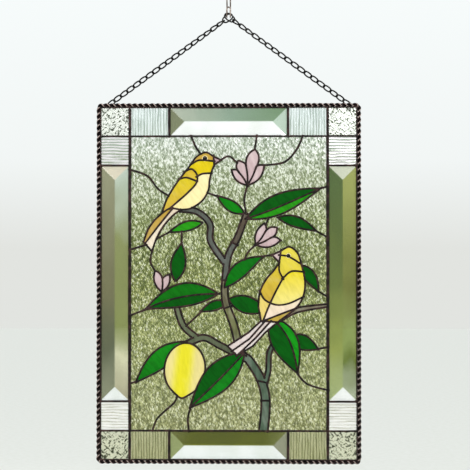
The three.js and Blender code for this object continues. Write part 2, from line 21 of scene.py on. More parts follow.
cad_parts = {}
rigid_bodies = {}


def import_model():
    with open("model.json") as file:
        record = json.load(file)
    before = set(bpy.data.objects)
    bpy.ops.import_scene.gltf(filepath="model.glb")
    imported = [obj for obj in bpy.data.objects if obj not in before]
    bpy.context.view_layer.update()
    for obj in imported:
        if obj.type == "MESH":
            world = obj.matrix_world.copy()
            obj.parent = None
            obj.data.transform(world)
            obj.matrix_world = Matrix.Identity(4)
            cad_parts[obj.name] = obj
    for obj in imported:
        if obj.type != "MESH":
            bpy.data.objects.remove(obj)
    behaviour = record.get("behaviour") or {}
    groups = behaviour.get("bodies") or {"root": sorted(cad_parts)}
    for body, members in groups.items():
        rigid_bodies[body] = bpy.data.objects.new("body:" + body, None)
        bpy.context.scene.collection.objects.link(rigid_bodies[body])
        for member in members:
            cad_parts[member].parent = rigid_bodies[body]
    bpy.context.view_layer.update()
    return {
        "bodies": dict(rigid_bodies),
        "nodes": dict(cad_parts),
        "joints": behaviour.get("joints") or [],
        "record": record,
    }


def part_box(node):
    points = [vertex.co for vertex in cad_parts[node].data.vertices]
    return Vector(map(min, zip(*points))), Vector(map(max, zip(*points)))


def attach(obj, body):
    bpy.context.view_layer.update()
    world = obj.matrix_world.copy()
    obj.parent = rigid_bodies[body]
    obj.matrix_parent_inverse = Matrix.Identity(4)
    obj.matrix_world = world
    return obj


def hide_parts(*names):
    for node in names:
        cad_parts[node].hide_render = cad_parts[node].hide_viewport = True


LOG = logging.getLogger("window_hanging")
Array = np.ndarray
Line = Sequence[Sequence[float]]
Dress = dict[str, bpy.types.Material]

MM = 0.001
PANEL = np.array([254.0, 346.0])
PANEL_DROP = 280.0
PICTURE_HALF = np.array([95.0, 141.0])
BEVEL_HALF = np.array([57.0, 113.0])
PANE_FACE = 1.5
EDGE_CAME = 1.6
UPRIGHT_CAME = 2.8
LEVEL_CAME = 2.1
PICTURE_CAME = 2.15
ROPE_DIAMETER = 4.2
LOOP_REACH = 115.5
LOOP_DEPTH = 4.5
LOOP_TOP = 172.0
HOOK_LOW = -24.5
PICTURE_RANGE = (-0.421, -0.139)
BORDER_RANGE = (-0.44, -0.12)
CURVE_SLACK = 1.05
SHARP_TURN = np.radians(38)
SHARP_EDGE = np.radians(50)
TINY = 1e-6


# Curves and noise ---------------------------------------------------------------------------


def shade(code: str) -> tuple[float, float, float, float]:
    """Turns a display colour into linear light.

    Args:
        code: The colour as six hexadecimal digits.

    Returns:
        Red, green, blue and an opacity of 1.
    """
    display = np.array([int(code[i : i + 2], 16) for i in (0, 2, 4)]) / 255
    linear = np.where(display <= 0.04045, display / 12.92, ((display + 0.055) / 1.055) ** 2.4)
    return (*(float(v) for v in linear), 1.0)


def blend(places: Array, stops: Sequence[tuple[float, str]]) -> Array:
    """Gives linear colours, with opacity, for places between stops of a number and a colour."""
    colours = np.array([shade(code) for _, code in stops])
    return np.stack([np.interp(places, [at for at, _ in stops], part) for part in colours.T], -1)


def shares(lengths: Array, step: float) -> tuple[Array, Array]:
    """Splits the stretches of a line into equal steps.

    Args:
        lengths: How long each stretch is.
        step: The largest step.

    Returns:
        For each step's start, its stretch and its share of the way along it.
    """
    counts = np.maximum(np.ceil(lengths / step).astype(int), 1)
    span = np.repeat(np.arange(len(counts)), counts)
    t = (np.arange(counts.sum()) - np.repeat(np.cumsum(counts) - counts, counts)) / counts[span]
    return span, t[:, None]


def flow(points: Line, step: float = 1.0) -> Array:
    """Draws a smooth line through a few points, or a straight one through two.

    Between two points it is a cubic that leaves and arrives along half of the chord between
    their neighbours; the ends stand in for missing neighbours.

    Args:
        points: What the line goes through.
        step: The largest distance between two of its points.

    Returns:
        The line's points.
    """
    knots = np.asarray(points, float)
    padded = np.concatenate([knots[:1], knots, knots[-1:]])
    before, start, end, after = padded[:-3], padded[1:-2], padded[2:-1], padded[3:]
    span, t = shares(np.linalg.norm(end - start, axis=1) * CURVE_SLACK, step)
    slope_in, slope_out = (end - before)[span] / 2, (after - start)[span] / 2
    line = (2 * t**3 - 3 * t**2 + 1) * start[span] + (t**3 - 2 * t**2 + t) * slope_in
    line += (3 * t**2 - 2 * t**3) * end[span] + (t**3 - t**2) * slope_out
    return np.concatenate([line, knots[-1:]])


def polyline(points: Line) -> Array:
    """Joins points with straight lines, split into short steps."""
    parts = [flow(pair)[:-1] for pair in zip(points[:-1], points[1:])]
    return np.concatenate([*parts, np.asarray(points[-1:], float)])


def stretched(line: Array, reach: float = 1.0) -> Array:
    """Draws a line out straight at both ends.

    Args:
        line: The line.
        reach: How far each end moves on.

    Returns:
        The longer line.
    """
    ends = [line[0] - line[1], line[-1] - line[-2]]
    first, last = (end / np.linalg.norm(end) * reach for end in ends)
    return np.concatenate([[line[0] + first], line, [line[-1] + last]])


def along_line(line: Array) -> Array:
    """Gives how far along a line each of its points lies."""
    return np.concatenate([[0], np.cumsum(np.linalg.norm(np.diff(line, axis=0), axis=1))])


def dense(line: Array, step: float, closed: bool = False) -> Array:
    """Splits a line's steps, so that none is longer than a given one.

    Args:
        line: The line.
        step: The largest distance between two of its points.
        closed: Whether the line runs back to its start.

    Returns:
        The line with more points, which ends where it starts if it is closed.
    """
    whole = np.concatenate([line, line[:1]]) if closed else line
    length = np.linalg.norm(np.diff(whole, axis=0), axis=1)
    whole = whole[np.concatenate([[True], length > TINY])]
    span, t = shares(length[length > TINY], step)
    return np.concatenate([whole[span] + t * (whole[span + 1] - whole[span]), whole[-1:]])


def even(line: Array, step: float) -> Array:
    """Spaces a line's points evenly and keeps its ends.

    Args:
        line: The line.
        step: About the distance between two points.

    Returns:
        The line with evenly spaced points.
    """
    along = along_line(line)
    places = np.linspace(0, along[-1], max(int(round(along[-1] / step)), 3) + 1)
    return np.stack([np.interp(places, along, part) for part in line.T], 1)


def even_loop(line: Array, step: float) -> Array:
    """Spaces a closed line's points evenly, about one step apart."""
    return even(np.concatenate([line, line[:1]]), step)[:-1]


def circle(sides: int) -> Array:
    """Gives the points of a circle of radius 1."""
    angle = np.arange(sides) / sides * 2 * np.pi
    return np.stack([np.cos(angle), np.sin(angle)], 1)


def spatial(flat: Array, y: Any = 0.0) -> Array:
    """Turns places x and z, at one y or at one each, into x, y and z."""
    return np.stack([flat[:, 0], y + 0 * flat[:, 0], flat[:, 1]], 1)


def inside(places: Array, outline: Array) -> Array:
    """Tells which places lie inside a closed outline, by counting crossings to their right.

    Args:
        places: The places, one a row.
        outline: The outline's corners in order.

    Returns:
        One truth value for each place.
    """
    ahead = np.roll(outline, -1, axis=0)
    rise = np.where(ahead[:, 1] == outline[:, 1], 1, ahead[:, 1] - outline[:, 1])
    found = np.zeros(len(places), bool)
    for part in np.array_split(np.arange(len(places)), max(len(places) // 4000, 1)):
        x, z = places[part, 0, None], places[part, 1, None]
        cross = outline[:, 0] + (z - outline[:, 1]) * (ahead[:, 0] - outline[:, 0]) / rise
        found[part] = (((outline[:, 1] > z) != (ahead[:, 1] > z)) & (cross > x)).sum(1) % 2 == 1
    return found


def cloud(u: Array, v: Array, seed: int) -> Array:
    """Gives soft noise from 0 to 1: fixed random numbers at whole places, blended between.

    Args:
        u: The first coordinate, whose unit is the size of one spot.
        v: The second coordinate.
        seed: Which set of random numbers is used.

    Returns:
        The noise at each place.
    """
    table = np.random.default_rng(seed).random((64, 64))
    iu, iv = np.floor(u).astype(int), np.floor(v).astype(int)
    fu, fv = u - iu, v - iv
    fu, fv = fu * fu * (3 - 2 * fu), fv * fv * (3 - 2 * fv)
    iu, iv, next_u, next_v = iu % 64, iv % 64, (iu + 1) % 64, (iv + 1) % 64
    low = table[iu, iv] * (1 - fu) + table[next_u, iv] * fu
    high = table[iu, next_v] * (1 - fu) + table[next_u, next_v] * fu
    return low * (1 - fv) + high * fv


# Meshes -------------------------------------------------------------------------------------


@dataclass
class Surface:
    """Points and faces of one closed surface or of several."""

    points: Array
    quads: Array = field(default_factory=lambda: np.zeros((0, 4), int))
    triangles: Array = field(default_factory=lambda: np.zeros((0, 3), int))
    tint: Array | None = None
    ripple: Array | None = None


def joined(surfaces: Sequence[Surface]) -> Surface:
    """Puts several surfaces into one.

    Args:
        surfaces: The surfaces, whose tints and ripples are either all there or all missing.

    Returns:
        One surface with all their points and faces.
    """
    starts = np.cumsum([0] + [len(one.points) for one in surfaces])
    extra = [[getattr(one, key) for one in surfaces] for key in ("tint", "ripple")]
    return Surface(
        np.concatenate([one.points for one in surfaces]),
        np.concatenate([one.quads + start for one, start in zip(surfaces, starts)]),
        np.concatenate([one.triangles + start for one, start in zip(surfaces, starts)]),
        *(None if parts[0] is None else np.concatenate(parts) for parts in extra),
    )


def grid_quads(rows: int, columns: int, wrap_rows: bool, wrap_columns: bool) -> Array:
    """Lists the quads of a grid of points.

    Args:
        rows: How many rows of points there are.
        columns: How many points a row has.
        wrap_rows: Whether the last row joins the first.
        wrap_columns: Whether a row's last point joins its first.

    Returns:
        Four point numbers for each quad.
    """
    i = np.arange(rows if wrap_rows else rows - 1)[:, None]
    j = np.arange(columns if wrap_columns else columns - 1)[None, :]
    below, beside = (i + 1) % rows, (j + 1) % columns
    quads = [i * columns + j, i * columns + beside, below * columns + beside, below * columns + j]
    return np.stack([np.broadcast_to(q, (i.size, j.size)) for q in quads], -1).reshape(-1, 4)


def sweep(path: Array, across: Array, up: Array, section: Array, closed: bool) -> Surface:
    """Carries a section along a path.

    Each point is the path's point, plus the section's first number times the direction across,
    plus its second number times the direction up. An open path ends in a fan at each end.

    Args:
        path: The path's points.
        across: A unit direction at each point.
        up: Another, such that across x up points along the path.
        section: The section's points, the same for all or one set for each point of the path.
        closed: Whether the path's end joins its start.

    Returns:
        The closed surface.
    """
    rings = np.broadcast_to(section, (len(path), *section.shape[-2:]))
    points = path[:, None] + rings[..., :1] * across[:, None] + rings[..., 1:] * up[:, None]
    rows, columns = points.shape[:2]
    quads = grid_quads(rows, columns, closed, True)
    if closed:
        return Surface(points.reshape(-1, 3), quads)
    j = np.arange(columns)
    k, pole, last = (j + 1) % columns, np.full(columns, rows * columns), (rows - 1) * columns
    fans = [np.stack([pole, k, j], 1), np.stack([pole + 1, j + last, k + last], 1)]
    points = np.concatenate([points.reshape(-1, 3), path[[0, -1]]])
    return Surface(points, quads, np.concatenate(fans))


def directions(path: Array, closed: bool) -> Array:
    """Gives the unit direction of an open or closed path at each of its points."""
    steps = np.roll(path, -1, 0) - np.roll(path, 1, 0) if closed else np.gradient(path, axis=0)
    return steps / np.linalg.norm(steps, axis=1, keepdims=True)


def wire(path: Array, radius: float, sides: int) -> Surface:
    """Makes a round wire along a closed path.

    Args:
        path: The path's points, as x, y, z.
        radius: The wire's radius.
        sides: How many points go round it.

    Returns:
        The closed surface.
    """
    along = directions(path, True)
    across = np.cross([0.52, 0.66, 0.54], along)
    across /= np.linalg.norm(across, axis=1, keepdims=True)
    return sweep(path, across, np.cross(along, across), radius * circle(sides), True)


def bead(
    centre: Sequence[float], radii: Sequence[float], columns: int = 10, rows: int = 7
) -> Surface:
    """Makes an egg-shaped bead: a circle's radius follows a sine from pole to pole along y.

    Args:
        centre: Its centre, as x, y, z.
        radii: Its radii along x, y and z.
        columns: How many points go round it.
        rows: How many rings it has from pole to pole.

    Returns:
        The closed surface.
    """
    lift = np.linspace(0, np.pi, rows + 2)[1:-1]
    path = np.stack([np.zeros(rows), -np.cos(lift), np.zeros(rows)], 1)
    across, up = np.tile([0.0, 0, 1], (rows, 1)), np.tile([1.0, 0, 0], (rows, 1))
    made = sweep(path, across, up, np.sin(lift)[:, None, None] * circle(columns), False)
    made.points[-2:, 1] = [-1, 1]
    made.points = made.points * radii + centre
    return made


def placed(name: str, data: bpy.types.ID) -> bpy.types.Object:
    """Puts an object into the scene.

    Args:
        name: Its name.
        data: Its mesh, light or camera.

    Returns:
        The object.
    """
    made = bpy.data.objects.new(name, data)
    bpy.context.scene.collection.objects.link(made)
    return made


def make_piece(
    name: str, surface: Surface, finish: bpy.types.Material, nodes: Sequence[str] = ()
) -> None:
    """Puts a surface into Blender as a piece of the hanging.

    The surface is lowered from the panel's centre to the object's origin and turned to metres.

    Args:
        name: The piece's name.
        surface: Its points and faces, in millimetres from the panel's centre.
        finish: Its material.
        nodes: The CAD nodes that it stands for.
    """
    mesh = bpy.data.meshes.new(name)
    points = (surface.points - [0, 0, PANEL_DROP]) * MM
    quads, triangles = surface.quads, surface.triangles
    corners = np.concatenate([quads.ravel(), triangles.ravel()])
    starts = np.concatenate([np.arange(len(quads)) * 4, quads.size + np.arange(len(triangles)) * 3])
    mesh.vertices.add(len(points))
    mesh.vertices.foreach_set("co", points.astype(np.float32).ravel())
    mesh.loops.add(len(corners))
    mesh.loops.foreach_set("vertex_index", corners.astype(np.int32))
    mesh.polygons.add(len(starts))
    mesh.polygons.foreach_set("loop_start", starts.astype(np.int32))
    mesh.polygons.foreach_set("use_smooth", np.ones(len(starts), bool))
    mesh.update(calc_edges=True)
    mesh.validate()
    mesh.set_sharp_from_angle(angle=SHARP_EDGE)
    for key, kind, part in (("tint", "FLOAT_COLOR", "color"), ("ripple", "FLOAT", "value")):
        values = getattr(surface, key)
        if values is not None:
            made = mesh.attributes.new(key, kind, "POINT")
            made.data.foreach_set(part, values.astype(np.float32).ravel())
    mesh.materials.append(finish)
    piece = placed(name, mesh)
    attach(piece, "root")
    if nodes:
        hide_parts(*nodes)
    LOG.info("%s: %d points, %d faces", name, len(points), len(starts))


# The picture's figures ----------------------------------------------------------------------


@dataclass(frozen=True)
class Tint:
    """The colour of the pane nearest to a place, from its upper to its lower end."""

    x: float
    z: float
    top: str
    bottom: str | None = None


@dataclass(frozen=True)
class Band:
    """A soft band of another colour down the middle of a pane."""

    x: float
    z: float
    lean: float
    half_width: float
    code: str

    def over(self, places: Array, colours: Array) -> Array:
        """Paints the band, whose share is exp of minus the distance from its middle to the 4th.

        Args:
            places: Places in the pane.
            colours: Their colours without the band.

        Returns:
            Their colours with it.
        """
        away = (places[:, 0] - self.x - self.lean * (places[:, 1] - self.z)) / self.half_width
        share = np.exp(-(away**4))[:, None]
        return colours * (1 - share) + np.array(shade(self.code)) * share


@dataclass
class Figure:
    """One figure of the picture: its outlines, the lines that cross it and its colours."""

    name: str
    slot: str
    outlines: list[Array]
    lines: list[Array]
    tints: list[Tint]
    band: Band | None = None

    def tint_at(self, middle: Array, places: Array) -> Array:
        """Colours a pane.

        Args:
            middle: The pane's middle.
            places: Its points.

        Returns:
            Linear red, green, blue and opacity for each point.
        """
        seeds = np.array([[tint.x, tint.z] for tint in self.tints])
        tint = self.tints[int(np.argmin(np.hypot(*(seeds - middle).T)))]
        top, bottom = np.array(shade(tint.top)), np.array(shade(tint.bottom or tint.top))
        z = places[:, 1]
        down = (z.max() - z) / max(float(np.ptp(z)), TINY)
        colours = top + down[:, None] * (bottom - top)
        return colours if self.band is None else self.band.over(places, colours)


DARK_LEAF, BRIGHT_LEAF = "02510A", "248C12"


def blade_edge(base: Array, tip: Array, width: float, bend: float, share: float) -> Array:
    """Draws one edge of a pointed blade, or its rib, from base to tip.

    A point is the place a share t of the way from base to tip, moved to the left of that line
    by bend times 4 t (1 - t) plus half the width times sin(pi t to the power 0.85).

    Args:
        base: Where the blade starts.
        tip: Where it ends.
        width: Its greatest width.
        bend: How far its middle bows to the left.
        share: The share of the half width, 1 or -1 for the edges.

    Returns:
        The edge's points.
    """
    base, tip = np.asarray(base, float), np.asarray(tip, float)
    side = np.array([base[1] - tip[1], tip[0] - base[0]])
    side = side / np.hypot(*side)
    t = np.linspace(0, 1, 41)[:, None]
    bow = bend * 4 * t * (1 - t) + share * width * np.sin(np.pi * t**0.85) / 2
    return base + t * (tip - base) + side * bow


def leaf(
    name: str, base: Sequence[float], tip: Sequence[float], width: float, bend: float,
    rib: float | None = None, tints: Sequence[Tint] = (), slot: str = "leaf_dark",
) -> Figure:
    """Draws a leaf.

    Args:
        name: The leaf's name.
        base: Where it grows from.
        tip: Where it ends.
        width: Its greatest width.
        bend: How far its middle bows to the left.
        rib: Where its rib lies, as a share of its half width, if it has one.
        tints: Its colours, or none for the usual one.
        slot: The record's material slot.

    Returns:
        The figure.
    """
    left, right = (blade_edge(base, tip, width, bend, share) for share in (1, -1))
    ribs = [] if rib is None else [blade_edge(base, tip, width, bend, rib)]
    usual = [Tint(0, 0, DARK_LEAF if slot == "leaf_dark" else BRIGHT_LEAF)]
    return Figure(name, slot, [np.concatenate([left, right[-2:0:-1]])], ribs, list(tints) or usual)


def blossom(name: str, base: Sequence[float], petals: Sequence[Sequence[float]]) -> Figure:
    """Draws a fan of petals that share a base.

    Each side of a petal is a curve with one control point, which lies 16 degrees to that side
    of the petal's middle line, or 36 on the outside. Neighbours meet in a dip, from which a
    line runs to the base.

    Args:
        name: The blossom's name.
        base: Where the petals meet.
        petals: Each petal's angle, clockwise from upright in degrees, and its length.

    Returns:
        The figure.
    """
    origin = np.asarray(base, float)
    t = np.linspace(0, 1, 15)[:, None]

    def at(degrees: float, distance: float) -> Array:
        """Gives the place in a direction at a distance from the base."""
        turn = np.radians(degrees)
        return origin + distance * np.array([np.sin(turn), np.cos(turn)])

    def bow(start: Array, control: Array, end: Array) -> Array:
        """Draws a curve with one control point, without its last point."""
        return ((1 - t) ** 2 * start + 2 * t * (1 - t) * control + t**2 * end)[:-1]

    pairs = zip(petals, petals[1:])
    dips = [at((first[0] + second[0]) / 2, 0.31 * (first[1] + second[1])) for first, second in pairs]
    ends = [origin, *dips, origin]
    parts = []
    for i, (degrees, length) in enumerate(petals):
        outer = (i == 0, i == len(petals) - 1)
        (wide, low), (far, high) = ((36, 0.62) if end else (16, 0.88) for end in outer)
        tip = at(degrees, length)
        parts.append(bow(ends[i], at(degrees - wide, length * low), tip))
        parts.append(bow(tip, at(degrees + far, length * high), ends[i + 1]))
    bows = [(origin + dip) / 2 + (dip - origin)[::-1] * [0.04, -0.04] for dip in dips]
    seams = [flow([origin, middle, dip]) for middle, dip in zip(bows, dips)]
    tint = Tint(*origin, "CFB8BA", "C4A8AC")
    return Figure(name, "petal", [np.concatenate(parts)], seams, [tint])


def ribbon(points: Line, start_width: float, end_width: float) -> Array:
    """Draws the outline of a ribbon along a smooth line.

    Args:
        points: The points that the line goes through.
        start_width: Its width at the start.
        end_width: Its width at the end.

    Returns:
        The closed outline.
    """
    line = flow(points)
    along = directions(line, False)
    half = np.linspace(start_width, end_width, len(line))[:, None] / 2
    side = np.stack([-along[:, 1], along[:, 0]], 1) * half
    return np.concatenate([line + side, (line - side)[::-1]])


def lemon(
    x: float, z: float, half_width: float, half_height: float, tilt: float, nub: float
) -> Figure:
    """Draws a lemon: an oval whose lower end is drawn out to a nub.

    The oval's height and width follow the sine and cosine of an angle. A factor that is the
    sine to the power 12 at the bottom, and nearly nothing elsewhere, narrows and lengthens it.

    Args:
        x: Its middle's place to the right.
        z: Its middle's place upwards.
        half_width: Half its width.
        half_height: Half its height.
        tilt: How far it leans to the left, in radians.
        nub: How far the nub stands out.

    Returns:
        The figure.
    """
    t = np.arange(72) / 72 * 2 * np.pi
    low = np.maximum(-np.sin(t), 0) ** 12
    oval = np.stack([half_width * np.cos(t) * (1 - 0.3 * low), half_height * np.sin(t) - nub * low], 1)
    turn = np.array([[np.cos(tilt), np.sin(tilt)], [-np.sin(tilt), np.cos(tilt)]])
    band = Band(x - 1.5, z, -tilt, half_width / 2 - 0.25, "E2D828")
    return Figure("lemon", "lemon", [oval @ turn + [x, z]], [], [Tint(x, z, "E4D690")], band)


def upper_bird() -> Figure:
    """Draws a small bird that faces right, with its wing folded and its tail down.

    Returns:
        The figure.
    """
    outline = [
        flow([
            [-64, 67], [-60, 79], [-54.5, 89], [-47, 100], [-38, 111.5], [-31, 121], [-22, 125.5],
            [-14.5, 121.5],
        ]),
        [[-7, 118.2]],
        flow([
            [-13.8, 113.5], [-16.5, 106.5], [-18.3, 98], [-19.5, 89], [-25.5, 79], [-36, 72],
            [-46, 70.5],
        ]),
        flow([[-46, 70.5], [-54, 64.5], [-63, 54], [-69.5, 42], [-73.5, 30.5]])[1:],
        flow([[-81.5, 40], [-77, 52], [-70.5, 61], [-64, 67]])[:-1],
    ]
    lines = [
        [[-14.5, 121.5], [-13.8, 113.5]],
        [[-36, 114], [-28, 118], [-14.3, 117]],
        [[-30, 102.5], [-25, 105], [-17, 105.5]],
        [[-42, 107], [-35.5, 109.5], [-30.3, 104], [-31, 96], [-39, 87], [-48, 79], [-56, 72.2]],
        [[-47, 100], [-40, 101.3], [-31, 98]],
        [[-64, 67], [-56, 71.8], [-46, 70.5]],
        [[-54, 71.3], [-66.5, 56], [-79.8, 38.6]],
    ]
    tints = [
        Tint(-12, 117.5, "B79AA2"), Tint(-25, 121.5, "C8A444", "BC9A3E"), Tint(-22, 111, "DCC40C"),
        Tint(-38, 105, "D0AE34", "D8BC2C"), Tint(-46, 90, "DAC51C", "CDAA46"),
        Tint(-27, 88, "F8E9B4", "F6E6A8"), Tint(-72, 55, "C09C3E", "C8A65A"),
        Tint(-63, 56, "E8D6C0", "EFE2CC"),
    ]
    drawn = [flow(line) for line in lines]
    return Figure("bird_upper", "bird", [np.concatenate(outline)], drawn, tints)


def lower_bird() -> Figure:
    """Draws a small bird seen from behind, which looks left, with its tail across the trunk.

    Returns:
        The figure.
    """
    outline = [
        flow([[50, 31], [58, 35], [66, 29], [70, 17], [73, 3], [72, -10], [65, -23], [47, -37]]),
        polyline([[35, -47], [23, -60], [8, -69]]), [[-1, -60]], polyline([[19, -47], [31, -36]]),
        flow([[28.5, -22], [30, -8], [36, 4], [43, 12], [48.5, 20]]), [[41.5, 27.2]],
    ]
    lines = [
        [[50, 31], [48.5, 20]],
        [[49, 27], [57.5, 25.6], [68.5, 19]],
        [[48.5, 20], [48.5, 12], [52, 5]],
        [[52, 5], [60, 11.5], [71.5, 11]],
        [[52, 5], [45, -8], [38, -23], [33, -36]],
        [[30, -8], [35, -16], [46, -20.5], [58, -19], [71, -13]],
        [[33, -36], [48, -30], [64, -24]],
        [[31, -36], [47, -37]],
    ]
    feathers = [[[35, -36], [20, -53], [3.5, -64.5]], [[40, -36.5], [26, -52], [8, -69]]]
    tints = [
        Tint(47, 26, "D2BCBA"), Tint(59, 29.5, "CCB23C", "BC9E34"), Tint(60, 18, "E2D24C", "DBC840"),
        Tint(42, 4, "D4BE34", "C8A63C"), Tint(58, 0, "E4D010", "ECDF86"),
        Tint(53, -23, "F0DFBE", "F0DACA"), Tint(37, -22, "E6CF70", "E4CA74"),
        Tint(33, -12, "E6CF70"), Tint(56, -31, "BEA244"),
        Tint(14, -53, "E4D8D4", "DCCCCA"), Tint(22, -55, "E2CFCA", "E6D8D4"), Tint(32, -48, "E8DCD8"),
    ]
    drawn = [*(flow(line) for line in lines), *(polyline(line) for line in feathers)]
    return Figure("bird_lower", "bird", [np.concatenate(outline)], drawn, tints)


def branches() -> Figure:
    """Draws the trunk and what grows from it.

    Returns:
        The figure.
    """
    trunk = [
        [17, 67], [9, 45], [0, 27], [-3, 6], [-3, -17], [5, -40], [12, -66], [20, -74], [30, -90],
        [35, -107], [35, -124], [33, -142],
    ]
    outlines = [
        ribbon(trunk, 5, 8.5),
        ribbon([[-46, 71], [-30, 68.5], [-18, 57], [-17, 40], [-3, 19]], 5, 5.5),
        ribbon([[-40, -58], [-24, -52], [-9, -59], [14, -71]], 5.5, 6),
        ribbon([[-50, -22], [-43, -41], [-29, -53]], 5, 5.5),
        ribbon([[44, -37], [64, -26], [95, -21]], 6, 2.6),
        ribbon([[35, -95], [38, -83], [39, -66], [46, -54]], 4.5, 4.0),
    ]
    ties = [
        [[3.6, 39], [8, 36.8]], [[-5.6, 3], [-0.4, 3]], [[-3.6, -23.7], [1.8, -22]],
        [[8, -66], [16, -69]], [[27.8, -93], [34.6, -94.5]], [[31.8, -112], [38.2, -112]],
    ]
    tints = [
        Tint(12, 55, "5E5246", "544C40"), Tint(-24, 62, "6C716A", "565C58"), Tint(-16, 45, "5C605A"),
        Tint(0, 15, "6E6656", "5E5A4C"), Tint(-3, -12, "746E58", "646049"),
        Tint(5, -45, "76764F", "666A45"), Tint(22, -80, "4B5F50", "5A6B55"),
        Tint(34, -103, "506452"), Tint(34, -130, "5A6E5A", "4A604E"),
        Tint(-20, -54, "6A7258", "565E48"), Tint(-42, -38, "727052"), Tint(70, -25, "7A7260"),
        Tint(38, -80, "70705A"),
    ]
    return Figure("branch", "branch", outlines, [flow(tie) for tie in ties], tints)


def figures() -> list[Figure]:
    """Lists the picture's figures.

    Returns:
        The figures, those that lie on top first.
    """
    low = [Tint(-18, -84, DARK_LEAF), Tint(-4, -98, "0E7616")]
    left = [Tint(-44, -5, "0C680E"), Tint(-46, -18, DARK_LEAF)]
    right = [Tint(46, 84, DARK_LEAF), Tint(56, 72, BRIGHT_LEAF)]
    beside = [Tint(-64, -76, "128014", "0A6A10")]
    under = [Tint(46, -62, DARK_LEAF), Tint(62, -58, "128A14")]
    return [
        upper_bird(),
        lower_bird(),
        leaf("leaf_low_centre", [15, -66], [-37, -119], 26, -1, 0.15, low),
        lemon(-42, -82, 19.5, 25, -0.12, 3),
        leaf("leaf_broad_left", [-10, -10], [-80, -25], 22, -6, 0.15, left),
        leaf("leaf_broad_right", [17, 62], [88, 91], 19, 1, -0.25, right),
        leaf("leaf_middle", [-4, -4], [34, 26], 14, 4, tints=[Tint(14, 12, "0A6612", "066C0C")]),
        leaf("leaf_low_right", [40, -32], [66, -86], 25, 2, 0.35, under),
        leaf("leaf_by_lemon", [-40, -56], [-89, -95], 18, -3, tints=beside),
        branches(),
        leaf("leaf_upper_middle", [15, 67], [-11, 84], 10, 1, tints=[Tint(2, 76, "0A780E")]),
        leaf("leaf_under_bird", [-25, 58], [-57, 49], 9, -1, slot="leaf_bright"),
        leaf("leaf_upright", [-51, 2], [-45, 39], 14, 0),
        leaf("leaf_right", [47, 63], [84, 50], 10, 2),
        leaf("leaf_behind_bird", [67, 18], [86, -8], 11, 2),
        leaf("leaf_centre_left", [-1, -18], [-27, -27], 9, -1),
        leaf("leaf_centre_right", [0, -15], [38, -27], 16, 0),
        leaf("leaf_low_small", [56, -52], [86, -63], 14, 1),
        blossom("blossom_top", [18, 94], [[-46, 21], [-20, 25], [12, 35], [40, 25]]),
        blossom("blossom_middle", [26, 37], [[22, 22], [51, 26], [80, 24]]),
        blossom("blossom_left", [-64, -8], [[-18, 21], [24, 18]]),
    ]


# The lines of came across the clear ground, each by a few points as x and z.
GROUND_LINES = [
    [[-25, 122], [-31, 130], [-36, 141]], [[-95, 109], [-78, 103], [-67, 90], [-50, 80]],
    [[-7.5, 118.2], [1, 121.5], [12, 111]], [[33, 113], [53, 116], [65, 128], [71, 141]],
    [[82, 51], [95, 44]], [[-79, -25], [-95, -31]],
    [[-49, -106], [-52, -114], [-63, -124], [-69, -130.5], [-73, -141]],
    [[-36, -118], [-39, -129], [-38, -141]], [[85, -7], [95, -13]],
    [[65, -85], [75, -96], [95, -102]], [[18, 94], [15, 80], [17, 66]], [[25, 128], [27, 141]],
    [[86, 90], [95, 93]], [[-21, 87], [-10, 83]], [[-79, 37], [-95, 32]],
    [[-73, 32], [-75, 21], [-70, 11]], [[-45, 53], [-45, 38]], [[-56, 49.5], [-70, 42]],
    [[-88, -94], [-95, -96]], [[85, -62.5], [95, -61]], [[26, 37], [18, 29], [14, 19]],
    [[33, 26], [42.5, 27.2]], [[36, 57], [41, 68]], [[-26, -27], [-41, -41]],
]


# Lead and panes -----------------------------------------------------------------------------


@dataclass
class Came:
    """The dark lead lines, as domed ridges that stand out from both faces of the panes."""

    depth: float = 4.6
    squareness: float = 3.2
    sides: int = 14
    step: float = 1.1
    unevenness: float = 0.09
    swell_length: float = 6.0
    rise_length: float = 4.0
    least_cap: float = 0.16
    mound: tuple[float, float] = (0.62, 0.8)

    def ridge(self, line: Array, width: float, seed: int) -> Surface:
        """Makes one ridge.

        Its section is a rounded oblong, the sine and the cosine to the power 2 / squareness.
        Its width and its height follow smooth noises along it, and both ends are rounded off.

        Args:
            line: Its middle line, as x and z.
            width: Its usual width.
            seed: Which noise it follows.

        Returns:
            The closed surface.
        """
        line = even(line, self.step)
        along = along_line(line)
        flat = 0 * along
        reach = np.minimum(along, along[-1] - along) / (width / 2)
        cap = np.sqrt(np.maximum(1 - (1 - np.minimum(reach, 1)) ** 2, self.least_cap))
        swell = cloud(along / self.swell_length, flat + 0.5, seed) - 0.5
        half = width / 2 * (1 + 2 * self.unevenness * swell) * cap
        rise = 0.955 + 0.08 * (cloud(along / self.rise_length, flat + 0.5, seed + 1) - 0.5)
        thick = self.depth / 2 * rise * (0.6 + 0.4 * cap)
        ring = circle(self.sides)
        oblong = np.sign(ring) * np.abs(ring) ** (2 / self.squareness)
        path = spatial(line)
        direction = directions(path, False)
        across = np.stack([direction[:, 2], flat, -direction[:, 0]], 1)
        up = np.tile([0.0, 1, 0], (len(path), 1))
        return sweep(path, across, up, oblong * np.stack([half, thick], 1)[:, None], False)

    def joint(self, place: Array, width: float, seed: int) -> Surface:
        """Makes the low mound of solder, of a random size, where lines of a width meet."""
        size = np.random.default_rng(seed).uniform(*self.mound, 2) * width
        return bead([place[0], 0, place[1]], [size[0], self.depth / 2 * 0.995, size[1]])


